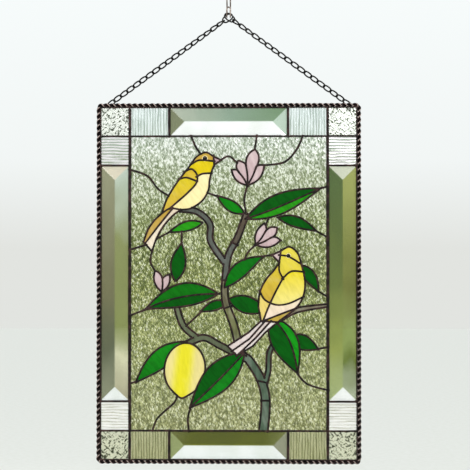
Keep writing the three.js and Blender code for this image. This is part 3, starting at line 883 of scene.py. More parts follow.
def split_at_corners(line: Array) -> list[Array]:
    """Cuts a line where it turns by more than SHARP_TURN.

    Args:
        line: The line.

    Returns:
        The parts between the corners.
    """
    steps = np.diff(line, axis=0)
    steps /= np.maximum(np.linalg.norm(steps, axis=1, keepdims=True), TINY)
    sharp = np.flatnonzero((steps[:-1] * steps[1:]).sum(1) < np.cos(SHARP_TURN)) + 1
    ends = [0, *sharp, len(line) - 1]
    return [line[a : b + 1] for a, b in zip(ends[:-1], ends[1:]) if b > a]


def runs(line: Array, hidden: Array) -> list[Array]:
    """Keeps the parts of a line that show.

    Args:
        line: The line.
        hidden: Whether each of its points is hidden. A step goes only where both its ends are.

    Returns:
        The parts that are kept.
    """
    keep = ~(hidden[:-1] & hidden[1:])
    ends = np.flatnonzero(np.diff(np.concatenate([[0], keep.astype(int), [0]])))
    return [line[a : b + 1] for a, b in zip(ends[::2], ends[1::2])]


# Painted light: the surroundings seen through the clear panes, painted into their colour by height:
# olive low down, grey-green at the top.
PAINTED_SURROUNDINGS_TONES = (
    (-173.0, "8C8C54"), (-120.0, "999C64"), (-60.0, "8A9350"), (0.0, "6E7A30"),
    (60.0, "76833E"), (105.0, "97A478"), (141.0, "B4C2AE"), (173.0, "AEBFB4"),
)


@dataclass
class Picture:
    """The picture: its panes, cut by its lead lines, and the lead lines themselves."""

    pitch: float = 0.7
    frame_step: float = 1.0
    row_share: float = 0.866
    clearance: float = 0.4
    margin: float = 5.0
    merge: float = 1e-3
    least_triangle: float = 1e-3
    inset: float = 0.42
    sharpest: float = 1.6
    least_pane: float = 4.0
    least_line: float = 1.2
    mound_gap: float = 2.2
    ground_relief: float = 0.26
    figure_relief: float = 0.08
    ground_pieces: int = 3
    ridge_seed: int = 40
    mound_seed: int = 400
    figures: list[Figure] = field(default_factory=figures)
    came: Came = field(default_factory=Came)

    def lead_lines(self) -> list[Array]:
        """Works out the lines that show: each figure hides the lines of those below it.

        Returns:
            The lines.
        """
        kept, above = [], []

        def clip(line: Array, covers: Sequence[Array]) -> None:
            """Keeps the parts of a line that show.

            Args:
                line: The line.
                covers: The outlines that hide it, as everything outside the picture does.
            """
            hidden = (np.abs(line) > PICTURE_HALF).any(1)
            for cover in covers:
                hidden |= inside(line, cover)
            kept.extend(part for run in runs(line, hidden) for part in split_at_corners(run))

        for figure in self.figures:
            for i, outline in enumerate(figure.outlines):
                others = figure.outlines[:i] + figure.outlines[i + 1 :]
                clip(dense(outline, self.pitch, closed=True), above + others)
            for line in figure.lines:
                clip(dense(stretched(line), self.pitch), above)
            above = above + figure.outlines
        for points in GROUND_LINES:
            clip(dense(stretched(flow(points)), self.pitch), above)
        return kept

    def mesh_points(self, samples: Array) -> Array:
        """Spreads points over the picture in rows, each shifted against the next by half a pitch.

        Args:
            samples: Points of the lead lines, which the spread points keep away from.

        Returns:
            The points.
        """
        half = PICTURE_HALF - self.pitch
        rows = np.arange(-half[1], half[1], self.pitch * self.row_share)
        columns = np.arange(-half[0], half[0], self.pitch)
        x = columns[None, :] + (np.arange(len(rows))[:, None] % 2) * self.pitch / 2
        spread = np.stack([x, np.broadcast_to(rows[:, None], x.shape)], -1).reshape(-1, 2)
        cell, corner = self.pitch * self.clearance, -PICTURE_HALF - self.margin
        marked = np.zeros((-2 * corner / cell).astype(int) + 9, bool)
        i, j = ((samples - corner) / cell).astype(int).T
        for a, b in [(a, b) for a in range(-2, 3) for b in range(-2, 3) if abs(a) + abs(b) < 4]:
            marked[i + a, j + b] = True
        i, j = ((spread - corner) / cell).astype(int).T
        return spread[~marked[i, j]]

    def panes(self, lines: Sequence[Array]) -> tuple[Array, Array, Array]:
        """Cuts the picture along its lead lines.

        The lines and the spread points are joined into triangles that cross no line. Triangles
        that share a side off the lines belong to one pane: each takes the lowest number of its
        neighbours until nothing changes.

        Args:
            lines: The lead lines.

        Returns:
            The points, the triangles and the number of each triangle's pane.
        """
        corners = PICTURE_HALF * [[-1, -1], [1, -1], [1, 1], [-1, 1]]
        frame = dense(corners, self.frame_step, closed=True)
        chains = [even(line, self.pitch) for line in lines] + [frame]
        samples, joins = np.concatenate(chains), np.arange(sum(map(len, chains)) - 1)
        joins = np.delete(joins, np.cumsum([len(chain) for chain in chains])[:-1] - 1)
        made = delaunay_2d_cdt(
            [Vector(p) for p in np.concatenate([samples, self.mesh_points(samples)]).tolist()],
            np.stack([joins, joins + 1], 1).tolist(), [], 0, self.merge, True,
        )
        places, triangles = np.array([list(p) for p in made[0]]), np.array(made[2])
        sides = np.sort(np.array(made[1]))
        blocked = sides[np.array([len(origin) > 0 for origin in made[4]])]
        weights = np.array([len(places), 1])
        keys = np.sort(np.stack([triangles, np.roll(triangles, -1, 1)], -1).reshape(-1, 2)) @ weights
        order = np.argsort(keys, kind="stable")
        keys, owners = keys[order], order // 3
        twin = np.flatnonzero(keys[:-1] == keys[1:])
        twin = twin[~np.isin(keys[twin], blocked @ weights)]
        one, other = owners[twin], owners[twin + 1]
        label = np.arange(len(triangles))
        while True:
            low, fresh = np.minimum(label[one], label[other]), label.copy()
            np.minimum.at(fresh, one, low)
            np.minimum.at(fresh, other, low)
            fresh = fresh[fresh]
            if (fresh == label).all():
                return places, triangles, label
            label = fresh

    def ground_ripple(self, x: Array, z: Array) -> Array:
        """Gives the height of the ground's hammered face from 0 to 1.

        It is the mean of two soft noises whose spots are drawn out along a leaning direction,
        which itself wanders slowly over the picture.

        Args:
            x: Places to the right.
            z: Places upwards.

        Returns:
            The height at each place.
        """
        sway = 3.0 * cloud(x / 40 + 3, z / 40 + 5, 11) + 2.0 * cloud(x / 13 + 8, z / 13 + 2, 14)
        u, v = x * 0.93 + z * 0.36 + sway, z * 0.93 - x * 0.36
        coarse, fine = cloud(u / 1.8 + 9, v / 3.6 + 7, 12), cloud(u / 1.15 + 2, v / 2.4 + 4, 13)
        return np.clip((0.4 * coarse + 0.6 * fine - 0.5) * 1.7 + 0.5, 0, 1)

    @staticmethod
    def compact(places: Array, triangles: Array) -> tuple[Array, Array, Array]:
        """Keeps the points that some triangles use.

        Args:
            places: All points.
            triangles: The triangles.

        Returns:
            The points, the triangles with new numbers, and the sides that only one of them has.
        """
        used, triangles = np.unique(triangles, return_inverse=True)
        triangles = triangles.reshape(-1, 3)
        sides = np.stack([triangles, np.roll(triangles, -1, 1)], -1).reshape(-1, 2)
        shared = np.isin(sides @ [len(used), 1], sides @ [1, len(used)])
        return places[used], triangles, sides[~shared]

    def solid(self, places: Array, triangles: Array, figure: Figure | None) -> Surface | None:
        """Makes one pane: its outline drawn in a little, a front, a back and a wall.

        Each edge point moves inwards along the sum of its two edges' inward directions, scaled
        so that both edges move by the inset. Triangles that this turns over are left out.

        Args:
            places: All points of the picture.
            triangles: The pane's triangles.
            figure: The figure that it belongs to, or nothing for the ground.

        Returns:
            The closed surface, or nothing where the pane is too small to show.
        """
        flat, triangles, rim = self.compact(places, triangles)
        step = flat[rim[:, 1]] - flat[rim[:, 0]]
        inward = np.stack([-step[:, 1], step[:, 0]], 1) / np.linalg.norm(step, axis=1, keepdims=True)
        pull = np.zeros_like(flat)
        np.add.at(pull, rim[:, 0], inward)
        np.add.at(pull, rim[:, 1], inward)
        length = np.linalg.norm(pull, axis=1, keepdims=True)
        scale = np.maximum(length, TINY)
        pull = pull * np.minimum(2 / scale**2, self.sharpest / scale)
        flat = flat + np.where(length > TINY, pull, 0) * self.inset
        a, b, c = (flat[triangles[:, k]] for k in range(3))
        area = np.cross(b - a, c - a) / 2
        large = area > self.least_triangle
        weight = area[large][:, None]
        if weight.sum() < self.least_pane:
            return None
        flat, triangles, rim = self.compact(flat, triangles[large])
        middle = (flat[triangles].mean(1) * weight).sum(0) / weight.sum()
        x, z = flat.T
        if figure is None:
            ripple, depth = self.ground_ripple(x, z), self.ground_relief
            # The clear ground's colour is painted light: the surroundings seen through it, by height.
            tint = blend(z, PAINTED_SURROUNDINGS_TONES)
        else:
            ripple, depth = cloud(x / 5 + 20, z / 7 + 20, 5), self.figure_relief
            tint = figure.tint_at(middle, flat)
        far = len(flat)
        return Surface(
            np.concatenate([spatial(flat, -PANE_FACE - depth * ripple), spatial(flat, PANE_FACE)]),
            np.stack([rim[:, 1], rim[:, 0], rim[:, 0] + far, rim[:, 1] + far], 1),
            np.concatenate([triangles, triangles[:, ::-1] + far]),
            np.concatenate([tint, tint]),
            np.concatenate([ripple, ripple]),
        )

    def owner(self, place: Array) -> Figure | None:
        """Finds the topmost figure at a place, or nothing for the ground."""
        over = (one for one in self.figures if any(inside(place[None], o)[0] for o in one.outlines))
        return next(over, None)

    def build(self, nodes: Sequence[str], dress: Dress) -> None:
        """Builds the panes, the lead lines and the mounds where they meet.

        Args:
            nodes: The names of the CAD nodes.
            dress: The material for each slot.
        """
        lines = self.lead_lines()
        places, triangles, label = self.panes(lines)
        solids: dict[str, list[Surface]] = {}
        order = np.argsort(label, kind="stable")
        for group in np.split(order, np.flatnonzero(np.diff(label[order])) + 1):
            a, b, c = (places[triangles[group, k]] for k in range(3))
            area = np.abs(np.cross(b - a, c - a)) / 2
            outside = (np.abs((a + b + c).mean(0) / 3) > PICTURE_HALF).any()
            if outside or area.sum() < self.least_pane:
                continue
            figure = self.owner((a + b + c)[np.argmax(area)] / 3)
            pane = self.solid(places, triangles[group], figure)
            if pane is not None:
                solids.setdefault(figure.name if figure else "ground", []).append(pane)
        ground = sorted(solids.pop("ground"), key=lambda pane: -len(pane.triangles))
        slots = {figure.name: figure.slot for figure in self.figures}
        for name, group in solids.items():
            stands_for = [node for node in nodes if re.fullmatch(name + r"(_\d+)?", node)]
            make_piece(name + "_panes", joined(group), dress[slots[name]], stands_for)
        heaps: list[list[Surface]] = [[] for _ in range(self.ground_pieces)]
        for pane in ground:
            sizes = [sum(len(one.triangles) for one in heap) for heap in heaps]
            heaps[int(np.argmin(sizes))].append(pane)
        grounds = [node for node in nodes if node.startswith("ground")]
        for i, heap in enumerate(heaps):
            make_piece(f"ground_panes_{i + 1}", joined(heap), dress["ground"], grounds)
        lines = [line for line in lines if along_line(line)[-1] > self.least_line]
        seeds = range(self.ridge_seed, self.ridge_seed + len(lines))
        ridges = [self.came.ridge(line, PICTURE_CAME, seed) for line, seed in zip(lines, seeds)]
        make_piece("lead_of_picture", joined(ridges), dress["came"], ["came"])
        ends = np.concatenate([line[[0, -1]] for line in lines])
        cells = np.unique(np.round(ends / self.mound_gap).astype(int), axis=0, return_index=True)[1]
        mounds = [self.came.joint(ends[k], PICTURE_CAME, self.mound_seed + int(k)) for k in cells]
        make_piece("solder_joints", joined(mounds), dress["came"], ["came"])


# Painted light on each bevelled strip's four facets, which face its left edge, its right edge,
# its lower edge and its upper edge: the reflections and shade that each facet shows, painted in.
# Places from 0 at the low or left end to 1, and colours.
BEVEL_PAINTED_LIGHT = {
    "left": (
        ((0.0, "90947A"), (0.2, "666C52"), (0.5, "807F5C"), (1.0, "9C9C7E")),
        ((0.0, "BAB498"), (0.12, "E4E2C2"), (0.28, "929C5C"), (0.7, "959D66"), (1.0, "CBD7CA")),
        ((0.0, "FAFEFE"),),
        ((0.0, "CDC2A4"), (1.0, "E8E0CC")),
    ),
    "right": (
        ((0.0, "B0BC86"), (0.2, "A0AA58"), (0.5, "707F3C"), (1.0, "586E3A")),
        ((0.0, "BAC2A8"), (0.12, "708030"), (0.22, "98A860"), (0.5, "7C813C"), (1.0, "A4AA60")),
        ((0.0, "FCFEFE"),),
        ((0.0, "B4BE9A"), (1.0, "DCE0CC")),
    ),
    "top": (
        ((0.0, "828868"),),
        ((0.0, "C4D6C6"),),
        ((0.0, "FDFEFE"),),
        ((0.0, "C0C8B8"), (0.5, "98B09C"), (1.0, "7E9E78")),
    ),
    "bottom": (
        ((0.0, "9CA670"),),
        ((0.0, "9A9C84"),),
        ((0.0, "FBFFFF"),),
        ((0.0, "70743C"), (0.2, "565C00"), (0.8, "585E04"), (1.0, "747A40")),
    ),
}


class Relief(Enum):
    """The kinds of face that the border's panes have."""

    GRANITE = "granite"
    UPRIGHT_RIBS = "upright_ribs"
    LEVEL_RIBS = "level_ribs"
    BEVEL = "bevelled"


@dataclass
class Border:
    """The border of textured panes, bevelled strips and straight came round the picture."""

    rib_pitch: float = 2.7
    rib_depth: float = 0.5
    granite_depth: float = 0.45
    bevel_face: float = 0.5
    bevel_rise: float = 3.0
    bevel_length: float = 200.0
    pitch: float = 0.5
    under_came: float = 0.9
    under_edge: float = 1.9
    edge_zone: float = 8.0
    overlap: float = 0.2
    side_extra: float = 0.5
    joint_width: float = 2.9
    line_step: float = 1.5
    sway: float = 0.16
    ridge_seed: int = 60
    sway_seed: int = 90
    joint_seed: int = 700
    came: Came = field(default_factory=Came)

    def relief(self, kind: Relief, x: Array, z: Array) -> Array:
        """Gives the height of a textured face from 0 to 1.

        Ribs are the absolute value of a sine across them, whose lines sway by a slow noise and
        whose heights differ. Granite is the lesser of two soft noises, drawn out two ways.

        Args:
            kind: The kind of face.
            x: Places to the right.
            z: Places upwards.

        Returns:
            The height at each place.
        """
        if kind is Relief.GRANITE:
            one = cloud((x + z) / 1.0, (x - z) / 2.9 + 7, 21)
            two = cloud((x - z) / 0.95 + 5, (x + z) / 2.7 + 3, 22)
            return np.clip((np.minimum(one, two) - 0.12) * 3.0, 0, 1)
        across, along = (x, z) if kind is Relief.UPRIGHT_RIBS else (z, x)
        sway = 1.1 * (cloud(across / 4 + 9, along / 14 + 4, 23) - 0.5)
        wave = np.abs(np.sin(np.pi * (across + sway) / self.rib_pitch))
        return np.clip(0.75 * wave + 0.35 * cloud(across / 0.8, along / 9, 24) - 0.05, 0, 1)

    def bevel(self, side: str, x: Array, z: Array, low: Array, high: Array) -> tuple[Array, Array]:
        """Gives the shape and the painted light of a bevelled strip, which is cut like a hipped roof.

        The height is the distance to the nearest edge, as a share of half the strip's width.
        The nearest edge also says which facet a place is on. Each facet gets its own painted
        reflections and shade, from its lower to its upper end, and a slow noise bends them a little.

        Args:
            side: Which side of the panel it is on.
            x: Places to the right.
            z: Places upwards.
            low: The strip's lowest corner, as x and z.
            high: Its highest corner.

        Returns:
            The height from 0 to 1 and the painted light as linear red, green, blue and opacity at each
            place.
        """
        edges = np.stack([x - low[0], high[0] - x, z - low[1], high[1] - z])
        height = np.clip(edges.min(0) / (min(high - low) / 2), 0, 1)
        if side in ("left", "right"):
            share = (z + self.bevel_length / 2) / self.bevel_length
        else:
            share = (x - low[0]) / (high[0] - low[0])
        share = share + 0.1 * (cloud(x / 9 + 4, z / 14 + 6, 31) - 0.5)
        painted_tones = np.stack([blend(share, stops) for stops in BEVEL_PAINTED_LIGHT[side]])
        return height, np.take_along_axis(painted_tones, edges.argmin(0)[None, ..., None], 0)[0]

    def textured(self, name: str, kind: Relief) -> Surface:
        """Makes a border pane over the whole of its CAD node, with a textured front.

        The pane reaches a little further, under the came that holds it.

        Args:
            name: The CAD node's name.
            kind: The kind of front.

        Returns:
            The closed surface.
        """
        low, high = (np.array(corner)[[0, 2]] / MM + [0, PANEL_DROP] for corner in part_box(name))
        limit = PANEL / 2 - self.edge_zone
        low = low - np.where(low < -limit, self.under_edge, self.under_came)
        high = high + np.where(high > limit, self.under_edge, self.under_came)
        columns, rows = np.round((high - low) / self.pitch).astype(int) + 1
        x, z = np.meshgrid(np.linspace(low[0], high[0], columns), np.linspace(low[1], high[1], rows))
        if kind is Relief.BEVEL:
            # A bevelled strip's colours are painted reflections and shade, one set for each facet.
            height, tint = self.bevel(name.removeprefix("bevel_"), x, z, low, high)
            face, depth = self.bevel_face, self.bevel_rise
        else:
            # A clear pane's colour is painted light: the surroundings seen through it, by height.
            height, tint = self.relief(kind, x, z), blend(z, PAINTED_SURROUNDINGS_TONES)
            face, depth = PANE_FACE, self.granite_depth if kind is Relief.GRANITE else self.rib_depth
        height, flat = height.ravel(), np.stack([x.ravel(), z.ravel()], 1)
        quads = grid_quads(rows, columns, False, False)
        number = np.arange(rows * columns).reshape(rows, columns)
        rim = np.concatenate([number[0, :-1], number[:-1, -1], number[-1, :0:-1], number[:0:-1, 0]])
        ahead, far = np.roll(rim, -1), rows * columns
        walls = np.stack([ahead, rim, rim + far, ahead + far], 1)
        return Surface(
            np.concatenate([spatial(flat, -face - depth * height), spatial(flat, PANE_FACE)]),
            np.concatenate([quads, quads[:, ::-1] + far, walls]),
            tint=np.tile(tint.reshape(-1, 4), (2, 1)),
            ripple=np.tile(height, 2),
        )

    def lines(self) -> list[tuple[list[list[float]], float]]:
        """Lists the straight lines of came.

        Returns:
            Each line's two ends and its width.
        """
        x, z = PANEL / 2 - ROPE_DIAMETER - self.overlap
        made = []
        for side in (-1, 1):
            upright, level = side * (PICTURE_HALF - [self.overlap, 0])
            made.append(([[-x, side * z], [x, side * z]], EDGE_CAME))
            made.append(([[side * x, -z], [side * x, z]], EDGE_CAME))
            made.append(([[upright, -z], [upright, z]], UPRIGHT_CAME + self.side_extra))
            made.append(([[-x, level], [x, level]], LEVEL_CAME))
            for end in (-1, 1):
                bay, bay_level = end * BEVEL_HALF
                made.append(([[bay, level], [bay, side * z]], UPRIGHT_CAME))
                made.append(([[upright, bay_level], [side * x, bay_level]], LEVEL_CAME))
        return made

    def build(self, dress: Dress) -> None:
        """Builds the border's textured panes, its bevelled strips and its came.

        Args:
            dress: The material for each slot.
        """
        for level in ("top", "bottom"):
            for stem, kind, slot in (
                ("corner_pane", Relief.GRANITE, "granite"),
                ("ribbed_pane", Relief.UPRIGHT_RIBS, "ribbed"),
                ("ribbed_side_pane", Relief.LEVEL_RIBS, "ribbed"),
            ):
                nodes = [f"{stem}_{level}_{hand}" for hand in ("left", "right")]
                faces = joined([self.textured(node, kind) for node in nodes])
                make_piece(f"{kind.value}_panes_{level}", faces, dress[kind.value], nodes)
        for side in BEVEL_PAINTED_LIGHT:
            strip = self.textured(f"bevel_{side}", Relief.BEVEL)
            make_piece(f"bevelled_strip_{side}", strip, dress["bevel"], [f"bevel_{side}"])
        made, lines = [], self.lines()
        for i, (ends, width) in enumerate(lines):
            path = flow(ends, self.line_step)
            place = np.arange(len(path)) / 14
            sway = self.sway * (cloud(place, 0 * place + 0.5, self.sway_seed + i) - 0.5)
            made.append(self.came.ridge(path + sway[:, None], width, self.ridge_seed + 2 * i))
        crossings = PICTURE_HALF * [[-1, -1], [-1, 1], [1, -1], [1, 1]]
        places = np.concatenate([*(np.array(ends, float) for ends, _ in lines), crossings])
        for i, place in enumerate(np.unique(np.round(places, 1), axis=0)):
            made.append(self.came.joint(place, self.joint_width, self.joint_seed + i))
        make_piece("lead_of_border", joined(made), dress["came"], ["came"])


# Rope, chain and hook -----------------------------------------------------------------------


@dataclass
class EdgeRope:
    """The two strands of wire, twisted together, that run round the panel's edge."""

    turns: int = 106
    strand: float = 1.04
    corner: float = 3.0
    steps_per_turn: int = 22
    sides: int = 10

    def middle(self, share: Array) -> tuple[Array, Array]:
        """Gives the rope's middle line, an oblong with rounded corners.

        The line is four straight parts and four quarter circles. A place is found by its share
        of the whole length, from the length at which each part starts.

        Args:
            share: Places along the line, from 0 to 1.

        Returns:
            The points as x and z, and the directions that point out of the oblong.
        """
        half = (PANEL - ROPE_DIAMETER) / 2 - self.corner
        quarter = np.linspace(0, np.pi / 2, 10)
        arcs = []
        for k, hand in enumerate(((1, 1), (-1, 1), (-1, -1), (1, -1))):
            spoke = np.stack([np.cos(quarter + k * np.pi / 2), np.sin(quarter + k * np.pi / 2)], 1)
            arcs.append(np.concatenate([half * hand + self.corner * spoke, spoke], 1))
        whole = np.concatenate([*arcs, arcs[0][:1]])
        along = along_line(whole[:, :2])
        found = np.stack([np.interp(share * along[-1], along, part) for part in whole.T], 1)
        return found[:, :2], found[:, 2:] / np.linalg.norm(found[:, 2:], axis=1, keepdims=True)

    def build(self, dress: Dress) -> None:
        """Builds both strands.

        A strand's middle goes round the rope's middle line at a strand's radius, once a turn.
        Its section is a circle in the plane across it, spanned by the direction out from the
        rope's middle and the one across both.

        Args:
            dress: The material for each slot.
        """
        count = self.turns * self.steps_per_turn
        share = np.arange(count) / count
        middle, out = self.middle(share)
        ring, strands = circle(self.sides), []
        for start in (0.0, np.pi):
            angle = share * self.turns * 2 * np.pi + start
            spoke = spatial(np.cos(angle)[:, None] * out, np.sin(angle))
            path = spatial(middle) + self.strand * spoke
            along = directions(path, True)
            up = np.cross(along, spoke)
            up /= np.linalg.norm(up, axis=1, keepdims=True)
            made = sweep(path, np.cross(up, along), up, self.strand * ring, True)
            # The ripple marks each strand's crests, where the rope's material paints a highlight.
            made.ripple = np.tile((1 + ring[:, 0]) / 2, count)
            strands.append(made)
        make_piece("edge_rope_strands", joined(strands), dress["rope"], ["edge_rope"])


@dataclass
class Chain:
    """The two strands of curb chain from the hook to the panel's top corners."""

    links: int = 18
    link_length: float = 10.2
    link_width: float = 5.4
    end_length: float = 12.0
    end_width: float = 7.4
    wire: float = 1.5
    roll: float = 1.0
    wobble: float = 0.12
    curl: float = 0.62
    hook_side: float = 4.05
    hook_wire: float = 1.4
    hook_gap: float = 1.5
    slack: tuple[float, float] = (0.1, 0.3)

    def link(self, length: float, width: float, curl: float) -> Surface:
        """Makes one link along x, in the x-z plane.

        Its wire follows a rounded oblong, whose section at each end is turned about x by the
        curl, in opposite ways.

        Args:
            length: Its outer length.
            width: Its outer width.
            curl: The turn at each end, in radians.

        Returns:
            The closed surface.
        """
        cos, sin = circle(44).T
        x = (length - self.wire) / 2 * np.sign(cos) * np.abs(cos) ** 0.86
        z = (width - self.wire) / 2 * np.sign(sin) * np.abs(sin) ** 0.74
        turn = curl * x / (length / 2)
        return wire(np.stack([x, -z * np.sin(turn), z * np.cos(turn)], 1), self.wire / 2, 10)

    def strand(self, hand: int) -> Surface:
        """Makes one strand: links on a straight line, which turn about it towards the hook.

        Args:
            hand: -1 for the left strand and 1 for the right.

        Returns:
            The links as one surface.
        """
        start = np.array([0, -self.hook_gap * hand, HOOK_LOW + PANEL_DROP])
        run = np.array([hand * LOOP_REACH, LOOP_DEPTH, LOOP_TOP]) - start
        length = float(np.linalg.norm(run))
        run = run / length
        side = np.cross([0, 0, 1.0], run)
        side /= np.linalg.norm(side)
        top = np.cross(run, side)
        end, half = self.end_length - self.wire, (self.link_length - self.wire) / 2
        begin = end - self.hook_side - self.wire + self.slack[0] + half
        stop = length + (self.wire + self.hook_wire) / 2 + self.slack[1] - half
        places = [(end / 2 - self.hook_side, 0.0, self.end_length, self.end_width, 0.0)]
        for i in range(self.links):
            t = i / (self.links - 1)
            roll = hand * (self.roll * (1 - t) ** 1.5 + self.wobble * (-1) ** i)
            at = begin + (stop - begin) * t
            places.append((at, roll, self.link_length, self.link_width, self.curl))
        made = []
        for distance, roll, long, wide, curl in places:
            one = self.link(long, wide, curl)
            across = np.cos(roll) * side + np.sin(roll) * top
            axes = np.stack([run, across, np.cross(run, across)])
            one.points = start + distance * run + one.points @ axes
            made.append(one)
        return joined(made)

    def build(self, dress: Dress) -> None:
        """Builds both strands."""
        for hand, name in ((-1, "chain_left"), (1, "chain_right")):
            make_piece(name + "_links", self.strand(hand), dress["chain"], [name])


@dataclass
class Hook:
    """The wire hook: a ring, two legs and a bend that turns up in front, and the corner loops."""

    wire: float = 1.38
    ring: float = 5.6
    leg: float = 1.65
    bend: float = 3.88
    low: float = HOOK_LOW
    tip: float = -15.4
    step: float = 0.6
    loop_half: float = 1.66
    loop_bottom: float = 165.4
    solder_back: float = 2.4
    solder_rise: float = 2.2
    solder: tuple[float, float, float] = (2.0, 1.0, 2.4)

    def path(self) -> Array:
        """Draws the hook's closed middle line, from the ring down one leg and up the other.

        Returns:
            The points as x, y and z.
        """
        gap = np.arcsin(self.leg / self.ring)
        angle = -np.pi / 2 - gap - np.linspace(0, 1, 30) * (2 * np.pi - 2 * gap)
        ring = np.stack([self.ring * np.cos(angle), 0 * angle, self.ring * np.sin(angle)], 1)
        bend, centre, top = self.bend, self.low + self.bend, self.tip - self.leg
        neck = flow([[0.3, -7.2], [1, -9.5], [bend, -13.4], [bend, -17], [bend, centre]], 0.7)
        half = np.linspace(0, np.pi, 16)[1:]
        bow = np.stack([bend * np.cos(half), centre - bend * np.sin(half)], 1)
        side = np.concatenate([neck, bow, flow([[-bend, centre + 0.6], [-bend, top - 0.4]], 0.7)])
        over = np.linspace(0, np.pi, 9)
        tip = np.stack([self.leg * np.cos(over), 0 * over - bend, top + self.leg * np.sin(over)], 1)
        down, back = (np.insert(side, 0, leg, axis=1) for leg in (self.leg, -self.leg))
        return np.concatenate([ring, down, tip, back[::-1]])

    def build(self, dress: Dress) -> None:
        """Builds the hook, whose line is smoothed twice, and the two corner loops.

        Args:
            dress: The material for each slot.
        """
        path = self.path()
        for _ in range(2):
            path = (np.roll(path, 1, 0) + 2 * path + np.roll(path, -1, 0)) / 4
        hook = wire(even_loop(path, self.step) + [0, 0, PANEL_DROP], self.wire / 2, 14)
        make_piece("hook_wire", hook, dress["hook"], ["hook"])
        turn = np.linspace(0, np.pi, 14)
        arc = np.stack([self.loop_half * np.cos(turn), self.loop_half * np.sin(turn)], 1)
        high, low = LOOP_TOP - self.loop_half, self.loop_bottom + self.loop_half
        flat = even_loop(np.concatenate([arc + [0, high], -arc + [0, low]]), self.step)
        loops = []
        for x in (-LOOP_REACH, LOOP_REACH):
            loops.append(wire(np.insert(flat + [LOOP_DEPTH, 0], 0, x, axis=1), self.wire / 2, 12))
            place = [x, self.solder_back, self.loop_bottom + self.solder_rise]
            loops.append(bead(place, self.solder, 14, 9))
        make_piece("corner_loops", joined(loops), dress["came"], ["came"])


@dataclass
class Eyes:
    """The birds' eyes: a pale ring, a dark pupil and a small painted highlight spot on the front face.
    """

    upper: tuple[float, float, float] = (-22.7, 119.7, 1.0)
    lower: tuple[float, float, float] = (57.2, 26.4, 0.9)
    ring: tuple[float, float] = (2.8, 0.9)
    pupil: tuple[float, float] = (2.3, 0.75)
    # The radii of the painted highlight spot, a catch light.
    spot: tuple[float, float, float] = (0.26, 0.12, 0.2)

    def build(self, dress: Dress) -> None:
        """Builds the rings, the pupils and the painted highlight spots of both eyes.

        An eye is given by x, z and a size, which scales radii in the panel's plane but no depth.

        Args:
            dress: The material for each slot.
        """
        front = -PANE_FACE - 0.05
        for name, (x, z, size) in (("upper", self.upper), ("lower", self.lower)):
            (wide, thick), (narrow, thin) = self.ring, self.pupil
            ring = bead([x, front, z], [wide * size, thick, wide * size], 32, 9)
            pupil = bead([x, front - 0.35, z], [narrow * size, thin, narrow * size], 32, 11)
            # A painted catch light: a pale spot up and a little to the right of the pupil's middle.
            lit = [x + 0.3 * size, front - 0.96, z + 1.0 * size]
            spot = bead(lit, self.spot * np.array([size, 1, size]), 12, 5)
            make_piece(f"eye_{name}_ring", joined([ring, spot]), dress["eye_white"])
            make_piece(f"eye_{name}_pupil", pupil, dress["eye_dark"])


# Finishes -----------------------------------------------------------------------------------


class Term:
    """A number that varies over a surface. Arithmetic on it adds the nodes that work it out."""

    def __init__(self, maker: "Nodes", socket: bpy.types.NodeSocket) -> None:
        """Wraps a socket of a node tree."""
        self.maker, self.socket = maker, socket

    def _with(self, operation: str, first: Any, second: Any) -> "Term":
        """Adds the node for one operation."""
        node = self.maker.node("ShaderNodeMath", {"operation": operation}, {0: first, 1: second})
        return Term(self.maker, node.outputs[0])

    def __add__(self, other: Any) -> "Term":
        """Adds."""
        return self._with("ADD", self, other)

    def __radd__(self, other: Any) -> "Term":
        """Adds to a plain number."""
        return self._with("ADD", other, self)

    def __sub__(self, other: Any) -> "Term":
        """Subtracts."""
        return self._with("SUBTRACT", self, other)

    def __rsub__(self, other: Any) -> "Term":
        """Subtracts from a plain number."""
        return self._with("SUBTRACT", other, self)

    def __mul__(self, other: Any) -> "Term":
        """Multiplies."""
        return self._with("MULTIPLY", self, other)

    def __rmul__(self, other: Any) -> "Term":
        """Multiplies a plain number."""
        return self._with("MULTIPLY", other, self)

    def between(self, low: float, high: float, way: str = "SMOOTHSTEP") -> "Term":
        """Rises from 0 at one value to 1 at another.

        Args:
            low: The first value.
            high: The second value.
            way: How it rises, smoothly or in a straight line.

        Returns:
            The new term.
        """
        values = {"Value": self, "From Min": low, "From Max": high}
        node = self.maker.node("ShaderNodeMapRange", {"interpolation_type": way}, values)
        return Term(self.maker, node.outputs[0])


class Nodes:
    """A node tree under construction."""

    def __init__(self, tree: bpy.types.NodeTree) -> None:
        """Empties a tree."""
        self.tree = tree
        tree.nodes.clear()

    def connect(self, node: bpy.types.Node, inputs: dict[Any, Any]) -> None:
        """Feeds a node.

        Args:
            node: The node.
            inputs: A value, a socket or a term for each of its sockets.
        """
        for key, value in inputs.items():
            source = value.socket if isinstance(value, Term) else value
            if isinstance(source, bpy.types.NodeSocket):
                self.tree.links.new(source, node.inputs[key])
            else:
                node.inputs[key].default_value = source

    def node(
        self, kind: str, settings: dict[str, Any] | None = None, inputs: dict[Any, Any] | None = None
    ) -> bpy.types.Node:
        """Adds a node.

        Args:
            kind: The node's type.
            settings: Its settings, set first. A ramp's stops are pairs of a place and a colour.
            inputs: A value, a socket or a term for each of its sockets.

        Returns:
            The node.
        """
        node = self.tree.nodes.new(kind)
        settings = dict(settings or {})
        stops = settings.pop("stops", ())
        for key, value in settings.items():
            setattr(node, key, value)
        for _ in stops[2:]:
            node.color_ramp.elements.new(0.5)
        for i, (place, code) in enumerate(stops):
            element = node.color_ramp.elements[i]
            element.position, element.color = place, shade(code)
        self.connect(node, inputs or {})
        return node

    def ramp(self, place: Any, stops: Sequence[tuple[float, str]]) -> bpy.types.NodeSocket:
        """Gives a colour for a number from 0 to 1, by stops of a number and a display colour."""
        return self.node("ShaderNodeValToRGB", {"stops": stops}, {0: place}).outputs[0]


